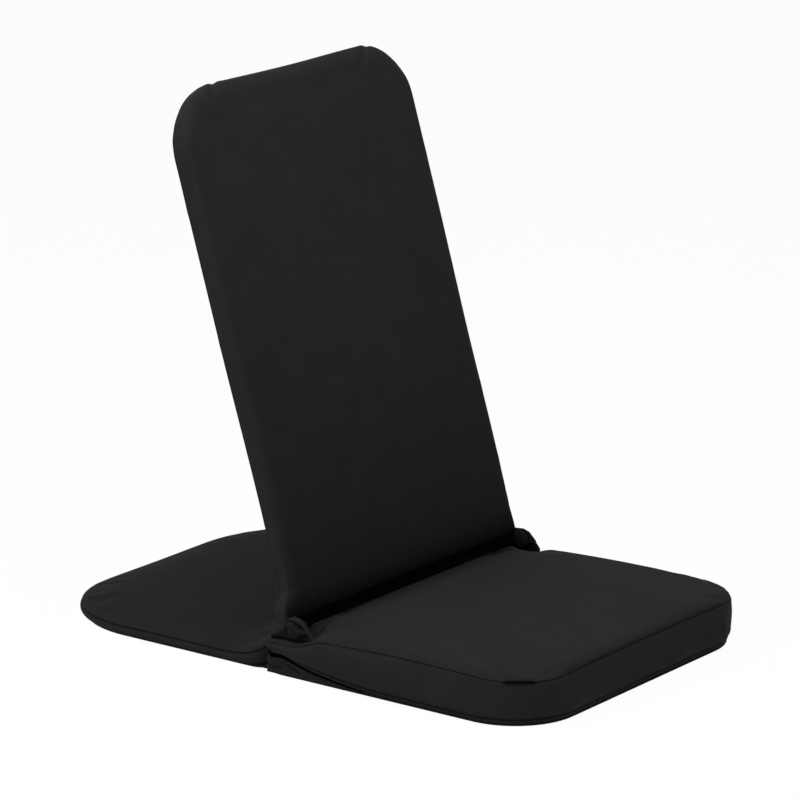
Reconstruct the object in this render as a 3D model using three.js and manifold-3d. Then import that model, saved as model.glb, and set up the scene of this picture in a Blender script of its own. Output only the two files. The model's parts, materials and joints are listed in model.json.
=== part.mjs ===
import * as THREE from 'three';
import { mergeVertices } from 'three/addons/utils/BufferGeometryUtils.js';
import Module from 'manifold-3d';

// A folding floor chair: a thick seat pad, a leaning back pad and a thin tail pad behind it.
// Millimetres. X runs across the chair, the sitter faces -Y and Z is up.
// The pieces are placed from the fold line, where the seat's and the tail's undersides meet.
// The last lines move the whole chair so that its origin is under the middle of its footprint.

const wasm = await Module();
wasm.setup();

// Cloth and clearances
const cloth = 1;
const touch = 0.3;
const slip = 0.15;
const seamGap = 0.5;
const bootEase = 1;
const headEase = 0.8;
const padSideGap = 1.2;
const foldLineGap = 1.5;
const foldedGap = 1.8;
const overrun = 5;

// Seat pad
const seatWidth = 400;
const seatDepth = 330;
const seatSeamHeight = 48;
const seatCrown = 4;
const seatFrontCorner = 74;
const seatRearCorner = 12;
const seatDrawIn = 2.5;
const seatUndercut = 5;
const seatUndercutHeight = 10;
const seatFall = 46;
const seatRearHeight = 20;

// Back pad: its depth runs from the flat front face to the rear face
const backLength = 541;
const backThickness = 26;
const backLean = THREE.MathUtils.degToRad(17);
const backTopCorner = 57;
const backBottomCorner = 14;
const backDrawIn = 2;
const backFrontRound = 8;
const backFrontCrown = 1.5;
const backRearRound = 6;
const backRearCrown = 2;
const backRearInset = 4;
const backLift = 1.5;
const creaseSetback = 37;

// Tail pad
const tailWidth = 388;
const tailLength = 300;
const tailSeamHeight = 10.4;
const tailCrown = 7.4;
const tailRearCorner = 112;
const tailFrontCorner = 12;
const tailDrawIn = 2;
const tailUndercut = 2;
const tailUndercutHeight = 4;
const tailCornerRise = 9;
const tailCentreRise = 26;
const tailRiseLength = 60;

// Steel frames inside the pads
const seatTube = 12;
const seatTubeWall = 1.2;
const seatFrameInset = 15.5;
const seatRearBarSetback = 20;
const backTube = 10;
const backTubeWall = 1;
const backTubeDepth = 15;
const backFrameInset = 16;
const backBarLift = 14;
const tailRod = 6;
const tailRodInset = 16;

// Hinge pack at each side of the back pad
const plateThickness = 3;
const pinDiameter = 6;
const pinHeadDiameter = 11;
const pinHeadThickness = 2.2;
const pinHeadBevel = 1;
const pinClench = 1.3;
const pinClenchDiameter = 9;
const pinRise = 3;
const eyeRadius = 8;
const crankEndRadius = 7.5;
const washerThickness = 0.7;
const washerRadius = 6.5;
const earToe = 8.25;
const earFoot = 34;
const earFootHeight = 2;
const stopTabLength = 8;
const stopTabThickness = 4;
const boreEase = 0.12;
const pocketEase = 0.5;
const bootReach = 3;

// Support cloth and foam inside the back pad
const slingThickness = 0.7;
const slingTopGap = 60;
const slingBottomGap = 30;
const foamEase = 0.3;

// Mesh fineness
const mergeTolerance = 0.003;
const largeCornerRadius = 40;
const largeCornerSteps = 7;
const smallCornerSteps = 3;
const sideSteps = 5;
const tubeSides = 12;
const bendSteps = 6;
const boreSides = 24;

// Shares of the way from a pad's middle to its seam, where rings of its crown lie
const crownShares = [0.96, 0.88, 0.72, 0.4];
// Shares of a round edge's width and height at the ring half way round it
const edgeInsetShare = 0.25;
const edgeRiseShare = 0.6;
// Share of a boxing's inset that it has half way between its seams
const bowShare = 0.25;
const crownPower = 4;
const fallPower = 1.5;

// Stations across the chair, from the seat's side in to the back pad's side
const seatHalf = seatWidth / 2;
const bootOuter = seatHalf - cloth - bootEase;
const bootInner = bootOuter - cloth;
const headOuter = bootInner - headEase;
const headInner = headOuter - pinHeadThickness;
const earOuter = headInner - slip;
const earInner = earOuter - plateThickness;
const washerOuter = earInner - slip;
const washerInner = washerOuter - washerThickness;
const crankOuter = washerInner - slip;
const crankInner = crankOuter - plateThickness;
const clenchOuter = crankInner - slip;
const clenchInner = clenchOuter - pinClench;
const backHalf = clenchInner - padSideGap;
const tailHalf = tailWidth / 2;

// The hinge pin's axis, in height and along Y, lets the back lie flat on the seat's crown
const pinHeight = seatSeamHeight + pinRise;
const pinAhead = seatSeamHeight + seatCrown + foldedGap - pinHeight;
const pinY = -creaseSetback + pinRise * Math.tan(backLean) - pinAhead / Math.cos(backLean);

// The same axis in the back pad's own frame, which has its origin on the crease
const pinDepth = -pinAhead;
const pinUp = (pinRise - pinAhead * Math.sin(backLean)) / Math.cos(backLean);
const barDepth = backTubeDepth;
const barUp = backBarLift;

// Materials
function finish(color, roughness, metalness) {
  return new THREE.MeshStandardMaterial({ color, roughness, metalness });
}
const blackCloth = finish(0x222223, 0.95, 0);
const liningCloth = finish(0x3a3a3c, 0.9, 0);
const foamGrey = finish(0xb9b6ac, 1, 0);
const zincSteel = finish(0x9a9c9e, 0.45, 0.9);
const blackSteel = finish(0x2c2d2f, 0.5, 0.6);
const nylonWhite = finish(0xd8d6cf, 0.6, 0);

// Solids: closed shapes from rings of points, and cuts between them
function outward(geometry) {
  const position = geometry.attributes.position;
  const index = geometry.index;
  const a = new THREE.Vector3();
  const b = new THREE.Vector3();
  const c = new THREE.Vector3();
  let volume = 0;
  for (let i = 0; i < index.count; i += 3) {
    a.fromBufferAttribute(position, index.getX(i));
    b.fromBufferAttribute(position, index.getX(i + 1));
    c.fromBufferAttribute(position, index.getX(i + 2));
    volume += a.dot(b.cross(c));
  }
  if (volume < 0) {
    for (let i = 0; i < index.count; i += 3) {
      const first = index.getX(i);
      index.setX(i, index.getX(i + 1));
      index.setX(i + 1, first);
    }
  }
  return geometry;
}

// Joins rings of equally many points. A looped skin closes on its first ring, and any other
// skin is closed at both ends by a fan round the middle of its end ring. Two crowns that lie on
// each other list their rings in the same order, from the middle out, so their faces match.
function skinOf(rings, looped) {
  const count = rings[0].length;
  const positions = rings.flat().flatMap((point) => [point.x, point.y, point.z]);
  const index = [];
  const last = looped ? rings.length : rings.length - 1;
  for (let k = 0; k < last; k += 1) {
    const here = k * count;
    const next = ((k + 1) % rings.length) * count;
    for (let i = 0; i < count; i += 1) {
      const j = (i + 1) % count;
      index.push(here + i, here + j, next + j, here + i, next + j, next + i);
    }
  }
  if (!looped) {
    [0, rings.length - 1].forEach((k) => {
      const middle = new THREE.Vector3();
      rings[k].forEach((point) => middle.addScaledVector(point, 1 / count));
      const tip = positions.length / 3;
      positions.push(middle.x, middle.y, middle.z);
      for (let i = 0; i < count; i += 1) {
        const j = (i + 1) % count;
        const start = k * count;
        if (k === 0) index.push(start + j, start + i, tip);
        else index.push(start + i, start + j, tip);
      }
    });
  }
  const geometry = new THREE.BufferGeometry();
  geometry.setAttribute('position', new THREE.Float32BufferAttribute(positions, 3));
  geometry.setIndex(index);
  return outward(geometry);
}

function toSolid(geometry) {
  const bare = geometry.clone();
  bare.deleteAttribute('normal');
  bare.deleteAttribute('uv');
  const merged = mergeVertices(bare, mergeTolerance);
  return new wasm.Manifold(new wasm.Mesh({
    numProp: 3,
    vertProperties: Float32Array.from(merged.attributes.position.array),
    triVerts: Uint32Array.from(merged.index.array),
  }));
}

function fromSolid(solid) {
  const mesh = solid.getMesh();
  const geometry = new THREE.BufferGeometry();
  geometry.setAttribute('position', new THREE.Float32BufferAttribute(mesh.vertProperties, 3));
  geometry.setIndex(Array.from(mesh.triVerts));
  return geometry;
}

function cut(geometry, ...tools) {
  return fromSolid(tools.reduce((solid, tool) => solid.subtract(toSolid(tool)), toSolid(geometry)));
}

function join(geometry, ...others) {
  return fromSolid(others.reduce((solid, other) => solid.add(toSolid(other)), toSolid(geometry)));
}

function block(x0, x1, y0, y1, z0, z1) {
  const geometry = new THREE.BoxGeometry(x1 - x0, y1 - y0, z1 - z0);
  return geometry.translate((x0 + x1) / 2, (y0 + y1) / 2, (z0 + z1) / 2);
}

// A round rod along X, between two stations
function crossRod(x0, x1, radius, y, z, sides) {
  const geometry = new THREE.CylinderGeometry(radius, radius, x1 - x0, sides);
  return geometry.rotateZ(Math.PI / 2).translate((x0 + x1) / 2, y, z);
}

// Outlines: a rounded rectangle whose sides pull in between its corners, as points with the
// direction that points out of the pad
function padOutline(half, low, high, lowCorner, highCorner, drawIn) {
  const points = [];
  function corner(x, y, radius, start) {
    const steps = radius > largeCornerRadius ? largeCornerSteps : smallCornerSteps;
    for (let i = 0; i <= steps; i += 1) {
      const angle = start + (Math.PI / 2) * (i / steps);
      points.push(new THREE.Vector2(x + radius * Math.cos(angle), y + radius * Math.sin(angle)));
    }
  }
  function side(from, to, pull) {
    for (let i = 1; i < sideSteps; i += 1) {
      const share = i / sideSteps;
      const point = new THREE.Vector2().lerpVectors(from, to, share);
      points.push(point.addScaledVector(pull, drawIn * Math.sin(Math.PI * share) ** 2));
    }
  }
  corner(half - highCorner, high - highCorner, highCorner, 0);
  side(new THREE.Vector2(half - highCorner, high), new THREE.Vector2(highCorner - half, high),
    new THREE.Vector2(0, -1));
  corner(highCorner - half, high - highCorner, highCorner, Math.PI / 2);
  side(new THREE.Vector2(-half, high - highCorner), new THREE.Vector2(-half, low + lowCorner),
    new THREE.Vector2(1, 0));
  corner(lowCorner - half, low + lowCorner, lowCorner, Math.PI);
  side(new THREE.Vector2(lowCorner - half, low), new THREE.Vector2(half - lowCorner, low),
    new THREE.Vector2(0, 1));
  corner(half - lowCorner, low + lowCorner, lowCorner, 1.5 * Math.PI);
  side(new THREE.Vector2(half, low + lowCorner), new THREE.Vector2(half, high - highCorner),
    new THREE.Vector2(-1, 0));
  return points.map((point, i) => {
    const before = points[(i + points.length - 1) % points.length];
    const after = points[(i + 1) % points.length];
    const along = new THREE.Vector2().subVectors(after, before).normalize();
    return { point, out: new THREE.Vector2(along.y, -along.x) };
  });
}

function insetPoints(outline, inset) {
  return outline.map(({ point, out }) => point.clone().addScaledVector(out, -inset));
}

function scaledPoints(points, centre, share) {
  return points.map((point) => point.clone().sub(centre).multiplyScalar(share).add(centre));
}

// Flat pads stand on XY with their thickness along Z. The back pad stands on XZ, and its
// depth runs along Y.
function lay(points, height) {
  return points.map((point) => {
    const level = typeof height === 'function' ? height(point.x, point.y) : height;
    return new THREE.Vector3(point.x, point.y, level);
  });
}

function stand(points, depth) {
  return points.map((point) => new THREE.Vector3(point.x, depth, point.y));
}

// Steel tubes: a path with a point and a direction for each of its sections
class StationPath extends THREE.Curve {
  constructor(stations) {
    super();
    this.stations = stations;
  }

  station(share) {
    return this.stations[Math.round(share * (this.stations.length - 1))];
  }

  getPointAt(share, target = new THREE.Vector3()) {
    return target.copy(this.station(share).point);
  }

  getPoint(share, target = new THREE.Vector3()) {
    return target.copy(this.station(share).point);
  }

  getTangentAt(share, target = new THREE.Vector3()) {
    return target.copy(this.station(share).along);
  }
}

// Stations through corners given as flat points, each rounded by its bend radius
function bentStations(corners, bends, place) {
  const stations = [];
  function add(point, along) {
    stations.push({ point: place(point), along: place(along).sub(place(new THREE.Vector2())) });
  }
  const directions = corners.slice(1).map((corner, i) =>
    new THREE.Vector2().subVectors(corner, corners[i]).normalize());
  add(corners[0], directions[0]);
  for (let i = 1; i < corners.length - 1; i += 1) {
    const before = directions[i - 1];
    const after = directions[i];
    const turn = Math.sign(before.cross(after));
    const side = new THREE.Vector2(-before.y, before.x).multiplyScalar(turn);
    const centre = corners[i].clone().addScaledVector(before, -bends[i - 1])
      .addScaledVector(side, bends[i - 1]);
    for (let k = 0; k <= bendSteps; k += 1) {
      const angle = turn * (Math.PI / 2) * (k / bendSteps);
      const spoke = side.clone().multiplyScalar(-bends[i - 1])
        .rotateAround(new THREE.Vector2(), angle);
      add(centre.clone().add(spoke), before.clone().rotateAround(new THREE.Vector2(), angle));
    }
  }
  add(corners.at(-1), directions.at(-1));
  return stations;
}

function ngon(radius, sides) {
  return Array.from({ length: sides }, (_, i) => {
    const angle = (2 * Math.PI * i) / sides;
    return new THREE.Vector2(radius * Math.cos(angle), radius * Math.sin(angle));
  });
}

function sweep(section, hole, stations) {
  const shape = new THREE.Shape(section);
  if (hole) shape.holes.push(new THREE.Path(hole));
  return new THREE.ExtrudeGeometry(shape, {
    steps: stations.length - 1,
    extrudePath: new StationPath(stations),
    bevelEnabled: false,
  });
}

function tube(diameter, wall, stations) {
  const bore = wall ? ngon(diameter / 2 - wall, tubeSides) : null;
  return sweep(ngon(diameter / 2, tubeSides), bore, stations);
}

// A groove as wide as the tube with its gap, from below the pad up over the tube
function groove(diameter, stations) {
  const half = diameter / 2 + touch;
  const below = diameter / 2 + overrun;
  const section = [[-half, -half], [below, -half], [below, half], [-half, half]];
  return sweep(section.map(([down, across]) => new THREE.Vector2(down, across)), null, stations);
}

const onFloor = (height) => (point) => new THREE.Vector3(point.x, point.y, height);
const onBack = (depth) => (point) => new THREE.Vector3(point.x, depth, point.y);

// Seat pad
const seatOutline = padOutline(seatHalf, -seatDepth, -foldLineGap, seatFrontCorner,
  seatRearCorner, seatDrawIn);
const seatCentre = new THREE.Vector2(0, -seatDepth / 2);
const seatTubeHeight = cloth + touch + seatTube / 2;
const seatLeg = earInner - touch - seatTube / 2;
const pocketX = clenchInner - pocketEase;
const pocketY = pinY - eyeRadius - bootReach - bootEase - pocketEase;

function seatSeam(x, y) {
  const fall = Math.max(0, (y + seatFall) / (seatFall - foldLineGap));
  return seatSeamHeight - (seatSeamHeight - seatRearHeight) * Math.min(1, fall) ** fallPower;
}

// A ring inset from the seam, at a level worked out from the seam's height beside it
function besideSeam(outline, inset, seam, level) {
  return insetPoints(outline, inset).map((point, i) => {
    const edge = outline[i].point;
    const height = Math.min(seam(edge.x, edge.y), seam(point.x, point.y));
    return new THREE.Vector3(point.x, point.y, level(height));
  });
}

// Rings of a crowned surface from its seam to near its middle, lowered by a depth. The first
// ring may lie inset from the seam, and is then no higher than the seam beside it.
function crownRings(outline, centre, seam, crown, lowered, inset) {
  const edge = insetPoints(outline, 0);
  const rings = [besideSeam(outline, inset, seam, (height) => height - lowered)];
  crownShares.forEach((share) => {
    const rise = crown * (1 - share ** crownPower);
    rings.push(lay(scaledPoints(edge, centre, share), (x, y) => seam(x, y) + rise - lowered));
  });
  return rings;
}

function flatPadTop(outline, centre, seam, crown) {
  const upper = crownRings(outline, centre, seam, crown, 0, 0);
  const lower = crownRings(outline, centre, seam, crown, cloth, 0);
  return skinOf([...lower.reverse(), ...upper], false);
}

// The boxing between a pad's base and its top seam. It swells a little between the two.
function flatPadBand(outline, seam, undercut, undercutHeight, swell) {
  const wall = (inset, level) => besideSeam(outline, inset, seam, level);
  const foot = () => cloth + touch;
  const knee = () => undercutHeight / 2;
  const rise = (share) => (height) => THREE.MathUtils.lerp(undercutHeight,
    height - cloth - seamGap, share);
  const rings = (inset) => [wall(undercut + inset, foot), wall(undercut * bowShare + inset, knee),
    wall(inset, rise(0)), wall(inset - swell, rise(1 / 2)), wall(inset, rise(1))];
  const outer = rings(0);
  const inner = rings(cloth);
  return skinOf([...outer, ...inner.reverse()], true);
}

function flatPadFoam(outline, centre, seam, crown, undercut, undercutHeight) {
  const inset = cloth + foamEase;
  const edge = insetPoints(outline, inset);
  const foot = lay(insetPoints(outline, undercut + inset), cloth + touch);
  const knee = lay(edge, undercutHeight);
  const top = crownRings(outline, centre, seam, crown, cloth + foamEase, inset);
  return skinOf([...top.reverse(), knee, foot], false);
}

// The space that each hinge takes out of the seat pad, out to a station across the chair
function hingePocket(sign, reach) {
  const near = sign * pocketX;
  const far = sign * reach;
  return block(Math.min(near, far), Math.max(near, far), pocketY, -touch,
    cloth + touch / 2, pinHeight + eyeRadius);
}

function seatFrameStations() {
  const front = -seatDepth + seatFrameInset;
  const rear = -seatRearBarSetback + seatTube / 2;
  const bend = seatFrontCorner - seatFrameInset;
  const corners = [[-seatLeg, rear], [-seatLeg, front], [seatLeg, front], [seatLeg, rear]];
  return bentStations(corners.map(([x, y]) => new THREE.Vector2(x, y)), [bend, bend],
    onFloor(seatTubeHeight));
}

function seatRearBarStations() {
  const reach = seatLeg - seatTube / 2 - touch;
  const ends = [-reach, reach].map((x) => new THREE.Vector2(x, -seatRearBarSetback));
  return bentStations(ends, [], onFloor(seatTubeHeight));
}

function seatCoverTop() {
  const panel = flatPadTop(seatOutline, seatCentre, seatSeam, seatCrown);
  const reach = bootOuter + touch;
  return cut(panel, hingePocket(-1, reach), hingePocket(1, reach));
}

function seatCoverBand() {
  return flatPadBand(seatOutline, seatSeam, seatUndercut, seatUndercutHeight, cloth);
}

// The base cloth runs back to the fold line, where it meets the tail's base
function baseCloth(half, near, far, nearCorner, farCorner) {
  const outline = insetPoints(padOutline(half, near, far, nearCorner, farCorner, 0), 0);
  return skinOf([lay(outline, 0), lay(outline, cloth)], false);
}

function seatCoverBase() {
  const corner = seatFrontCorner - seatUndercut;
  return baseCloth(seatHalf - seatUndercut, -seatDepth + seatUndercut, -touch / 2, corner, cloth);
}

function seatFoam() {
  const foam = flatPadFoam(seatOutline, seatCentre, seatSeam, seatCrown, seatUndercut,
    seatUndercutHeight);
  const reach = seatHalf + overrun;
  return cut(foam, groove(seatTube, seatFrameStations()),
    groove(seatTube, longer(seatRearBarStations())), hingePocket(-1, reach), hingePocket(1, reach));
}

// The same straight path, carried on at both ends so that its groove meets the side grooves
function longer(stations) {
  return stations.map(({ point, along }, i) => {
    const away = i === 0 ? -seatTube : seatTube;
    return { point: point.clone().addScaledVector(along, away), along };
  });
}

// Hinge at each side: an ear on the seat's frame, a crank on the back's bar and a rivet
function plate(outline, inner, outer) {
  const shape = new THREE.Shape(outline);
  const geometry = new THREE.ExtrudeGeometry(shape, { depth: outer - inner, bevelEnabled: false });
  geometry.applyMatrix4(new THREE.Matrix4().makeBasis(new THREE.Vector3(0, 1, 0),
    new THREE.Vector3(0, 0, 1), new THREE.Vector3(1, 0, 0)));
  return geometry.translate(inner, 0, 0);
}

function arcPoints(centre, radius, start, end, steps) {
  return Array.from({ length: steps + 1 }, (_, i) => {
    const angle = start + (end - start) * (i / steps);
    return new THREE.Vector2(centre.x + radius * Math.cos(angle),
      centre.y + radius * Math.sin(angle));
  });
}

function mirrored(geometry, sign) {
  if (sign > 0) return geometry;
  geometry.scale(-1, 1, 1);
  const index = geometry.index;
  if (index) return outward(geometry);
  const bare = geometry.clone();
  bare.deleteAttribute('normal');
  bare.deleteAttribute('uv');
  return outward(mergeVertices(bare, mergeTolerance));
}

// Where the crank's underside lies at rest, seen along X: from the pin towards the bar
const crankRun = new THREE.Vector2(barDepth - pinDepth, barUp - pinUp);
const crankTilt = crankRun.angle() - backLean;
const crankTaper = Math.asin((eyeRadius - crankEndRadius) / crankRun.length());

function hingeEar(sign) {
  const eye = new THREE.Vector2(pinY, pinHeight);
  const foot = pinY - earToe;
  const heel = foot + earFoot;
  const shoulder = stopTabCorners()[3];
  const outline = [new THREE.Vector2(foot, earFootHeight), new THREE.Vector2(heel, earFootHeight),
    new THREE.Vector2(heel, shoulder.y - stopTabThickness), shoulder,
    ...arcPoints(eye, eyeRadius, crankTilt - Math.PI / 4, Math.PI, bendSteps * 2)];
  const tab = plate(stopTabCorners(), crankInner + touch, earInner + plateThickness / 2);
  const bore = crossRod(earInner - overrun, earOuter + overrun, pinDiameter / 2 + boreEase,
    pinY, pinHeight, boreSides);
  return mirrored(cut(join(plate(outline, earInner, earOuter), tab), bore), sign);
}

// The stop tab's corners lie along the crank's underside, a touch away from it
function stopTabCorners() {
  const slope = crankTilt + crankTaper;
  const along = new THREE.Vector2(Math.cos(slope), Math.sin(slope));
  const down = new THREE.Vector2(along.y, -along.x);
  const eye = new THREE.Vector2(pinY, pinHeight);
  const reach = crankRun.length();
  const at = (run, drop) => eye.clone().addScaledVector(along, run).addScaledVector(down, drop);
  const top = eyeRadius + touch;
  return [at(reach - stopTabLength, top + stopTabThickness), at(reach, top + stopTabThickness),
    at(reach, top), at(reach - stopTabLength, top)];
}

function hingeRivet(sign) {
  const shank = pinDiameter / 2;
  const head = pinHeadDiameter / 2;
  const clench = pinClenchDiameter / 2;
  const profile = [[0, clenchInner], [clench, clenchInner], [clench, clenchOuter],
    [shank, clenchOuter], [shank, headInner], [head, headInner],
    [head, headOuter - pinHeadBevel], [head - pinHeadBevel, headOuter], [0, headOuter]];
  const points = profile.map(([radius, x]) => new THREE.Vector2(radius, x));
  const geometry = new THREE.LatheGeometry(points, boreSides);
  geometry.rotateZ(-Math.PI / 2).translate(0, pinY, pinHeight);
  return mirrored(cut(geometry), sign);
}

function hingeWasher(sign) {
  const ring = crossRod(washerInner, washerOuter, washerRadius, pinY, pinHeight, boreSides);
  const bore = crossRod(washerInner - overrun, washerOuter + overrun,
    pinDiameter / 2 + 2 * boreEase, pinY, pinHeight, boreSides);
  return mirrored(cut(ring, bore), sign);
}

// The cloth boot stands between the hinge and the seat's boxing and hides the hinge
function hingeBoot(sign) {
  const eye = new THREE.Vector2(pinY, pinHeight);
  const front = pocketY + touch;
  const rear = -foldLineGap - seatRearCorner;
  const foot = seatUndercutHeight + touch;
  const outline = [new THREE.Vector2(front, foot), new THREE.Vector2(rear, foot),
    new THREE.Vector2(rear, pinHeight),
    ...arcPoints(eye, eyeRadius + bootReach, Math.PI / 4, Math.PI - Math.PI / 8, bendSteps)];
  return mirrored(plate(outline, bootInner, bootOuter), sign);
}

// Crank plate in the back pad's frame
function hingeCrank(sign) {
  const eye = new THREE.Vector2(pinDepth, pinUp);
  const end = new THREE.Vector2(barDepth, barUp);
  const tilt = crankRun.angle();
  const wide = Math.PI / 2 + crankTaper;
  const outline = [...arcPoints(eye, eyeRadius, tilt + wide - 2 * crankTaper,
    tilt + 2 * Math.PI - wide + 2 * crankTaper, bendSteps * 2),
  ...arcPoints(end, crankEndRadius, tilt - wide + 2 * crankTaper, tilt + wide - 2 * crankTaper,
    bendSteps * 2)];
  const bore = crossRod(crankInner - overrun, crankOuter + overrun, pinDiameter / 2 + boreEase,
    pinDepth, pinUp, boreSides);
  return mirrored(cut(plate(outline, crankInner, crankOuter), bore), sign);
}

// Back pad, in a frame with its origin on the crease and its front face at depth zero
const backOutline = padOutline(backHalf, backLift, backLength, backBottomCorner, backTopCorner,
  backDrawIn);
const backCentre = new THREE.Vector2(0, (backLift + backLength) / 2);
const backRearSeam = backThickness - backRearRound;
const backLeg = backHalf - backFrameInset;

// Rings of one face of the back from its seam in: a soft round edge and then a slight crown.
// The face looks to the front where its sign is -1 and to the rear where it is 1.
function backFaceRings(inset, seamDepth, round, crown, sign, thinned) {
  const slack = thinned ? cloth * (1 - Math.SQRT1_2) : 0;
  const depthOf = (out) => seamDepth + sign * (out - (thinned ? cloth : 0));
  const body = insetPoints(backOutline, inset + round);
  const edgeRise = round - crown;
  const rings = [stand(insetPoints(backOutline, inset + (thinned ? cloth : 0)), seamDepth),
    stand(insetPoints(backOutline, inset + round * edgeInsetShare + slack),
      depthOf(edgeRise * edgeRiseShare)),
    stand(body, depthOf(edgeRise))];
  crownShares.forEach((share) => {
    const out = edgeRise + crown * (1 - share ** crownPower);
    rings.push(stand(scaledPoints(body, backCentre, share), depthOf(out)));
  });
  return rings;
}

function backFace(inset, seamDepth, round, crown, sign) {
  const outer = backFaceRings(inset, seamDepth, round, crown, sign, false);
  const inner = backFaceRings(inset, seamDepth, round, crown, sign, true);
  return skinOf([...inner.reverse(), ...outer], false);
}

function backCoverFront() {
  return backFace(0, backFrontRound, backFrontRound, backFrontCrown, -1);
}

function backCoverRear() {
  return backFace(backRearInset, backRearSeam, backRearRound, backRearCrown, 1);
}

function backBarHole() {
  return crossRod(-seatHalf, seatHalf, backTube / 2 + touch, barDepth, barUp, tubeSides);
}

function backCoverBand() {
  const front = backFrontRound + touch;
  const rear = backRearSeam - touch;
  const wall = (inset, depth) => stand(insetPoints(backOutline, inset), depth);
  const middle = (front + rear) / 2;
  const bow = backRearInset * bowShare;
  const band = skinOf([wall(0, front), wall(bow, middle), wall(backRearInset, rear),
    wall(backRearInset + cloth, rear), wall(bow + cloth, middle), wall(cloth, front)], true);
  return cut(band, backBarHole());
}

const slingFront = backTubeDepth - backTube / 2 - touch - slingThickness;
const trayDepth = slingFront - touch;
const trayInset = backFrameInset - backTube / 2 - slingThickness - 2 * touch - backDrawIn;

// The foam is a tray: a sheet under the front cover with a rim round the frame
function backFoamFront() {
  const ease = cloth + foamEase;
  const face = backFaceRings(foamEase, backFrontRound, backFrontRound, backFrontCrown, -1, true);
  face.forEach((ring) => ring.forEach((point) => point.setY(point.y + foamEase)));
  const rim = stand(insetPoints(backOutline, backRearInset + ease), backRearSeam - foamEase);
  const foam = skinOf([...face.reverse(), rim], false);
  const hollow = insetPoints(backOutline, trayInset);
  const tray = skinOf([stand(hollow, trayDepth), stand(hollow, backThickness + overrun)], false);
  return cut(foam, tray, backBarHole());
}

function backFoamRear() {
  const inset = backFrameInset + backTube / 2 + slingThickness + 2 * touch;
  const low = barUp + backTube / 2 + touch;
  const high = backLength - inset;
  const half = backHalf - inset;
  const outline = padOutline(half, low, high, backBottomCorner, backTopCorner - backFrameInset, 0);
  const body = insetPoints(outline, 0);
  const front = slingFront + slingThickness + touch;
  const rear = backThickness - backRearCrown - cloth - foamEase - touch;
  return skinOf([stand(body, front), stand(body, rear)], false);
}

function backFrameStations() {
  const top = backLength - backFrameInset;
  const bottom = barUp + backTube / 2 + touch;
  const bend = backTopCorner - backFrameInset + touch;
  const corners = [[-backLeg, bottom], [-backLeg, top], [backLeg, top], [backLeg, bottom]];
  return bentStations(corners.map(([x, y]) => new THREE.Vector2(x, y)), [bend, bend],
    onBack(backTubeDepth));
}

function backLowerBar() {
  const reach = crankInner - touch;
  const ends = [-reach, reach].map((x) => new THREE.Vector2(x, barUp));
  return tube(backTube, backTubeWall, bentStations(ends, [], onBack(barDepth)));
}

// The sling is stretched across the frame and hooked round the outside of both legs
function backSling() {
  const inside = backTube / 2 + touch;
  const outside = inside + slingThickness;
  const leg = (side) => new THREE.Vector2(side * backLeg, backTubeDepth);
  const half = Math.PI / 2;
  const outline = [...arcPoints(leg(-1), outside, -half, -3 * half, bendSteps),
    ...arcPoints(leg(-1), inside, -3 * half, -half, bendSteps),
    ...arcPoints(leg(1), inside, -half, half, bendSteps),
    ...arcPoints(leg(1), outside, half, -half, bendSteps)];
  const low = barUp + slingBottomGap;
  const high = backLength - backTopCorner - slingTopGap / 2;
  const geometry = new THREE.ExtrudeGeometry(new THREE.Shape(outline), {
    depth: high - low,
    bevelEnabled: false,
  });
  return geometry.translate(0, 0, low);
}

// Tail pad: its front edge is raised to stand behind the back pad
const tailOutline = padOutline(tailHalf, foldLineGap, tailLength, tailFrontCorner,
  tailRearCorner, tailDrawIn);
const tailCentre = new THREE.Vector2(0, tailLength / 2);

function tailSeam(x, y) {
  const near = Math.max(0, 1 - y / tailRiseLength) ** 2;
  const across = Math.min(1, Math.abs(x) / tailHalf);
  return tailSeamHeight + (tailCornerRise + tailCentreRise * (1 - across ** crownPower)) * near;
}

function tailCoverTop() {
  return flatPadTop(tailOutline, tailCentre, tailSeam, tailCrown);
}

function tailCoverBand() {
  return flatPadBand(tailOutline, tailSeam, tailUndercut, tailUndercutHeight, 0);
}

function tailCoverBase() {
  return baseCloth(tailHalf - tailUndercut, touch / 2, tailLength - tailUndercut, cloth,
    tailRearCorner - tailUndercut);
}

// The rod's ends meet at the middle of the front edge, where they are welded
function tailRodStations() {
  const half = tailHalf - tailRodInset;
  const near = foldLineGap + tailRodInset;
  const far = tailLength - tailRodInset;
  const corners = [[-touch / 2, near], [-half, near], [-half, far], [half, far], [half, near],
    [touch / 2, near]];
  const rearBend = tailRearCorner - tailRodInset;
  return bentStations(corners.map(([x, y]) => new THREE.Vector2(x, y)),
    [tailFrontCorner, rearBend, rearBend, tailFrontCorner],
    onFloor(cloth + touch + tailRod / 2));
}

function tailFoam() {
  const foam = flatPadFoam(tailOutline, tailCentre, tailSeam, tailCrown, tailUndercut,
    tailUndercutHeight);
  return cut(foam, groove(tailRod, tailRodStations()));
}

// Assembly
function part(name, geometry, material) {
  const mesh = new THREE.Mesh(geometry, material);
  mesh.name = name;
  return mesh;
}

const seat = new THREE.Group();
seat.add(
  part('seat_frame', tube(seatTube, seatTubeWall, seatFrameStations()), blackSteel),
  part('seat_rear_bar', tube(seatTube, seatTubeWall, seatRearBarStations()), blackSteel),
  part('seat_foam', seatFoam(), foamGrey),
  part('seat_cover_top', seatCoverTop(), blackCloth),
  part('seat_cover_band', seatCoverBand(), blackCloth),
  part('seat_cover_base', seatCoverBase(), liningCloth),
);

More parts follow.
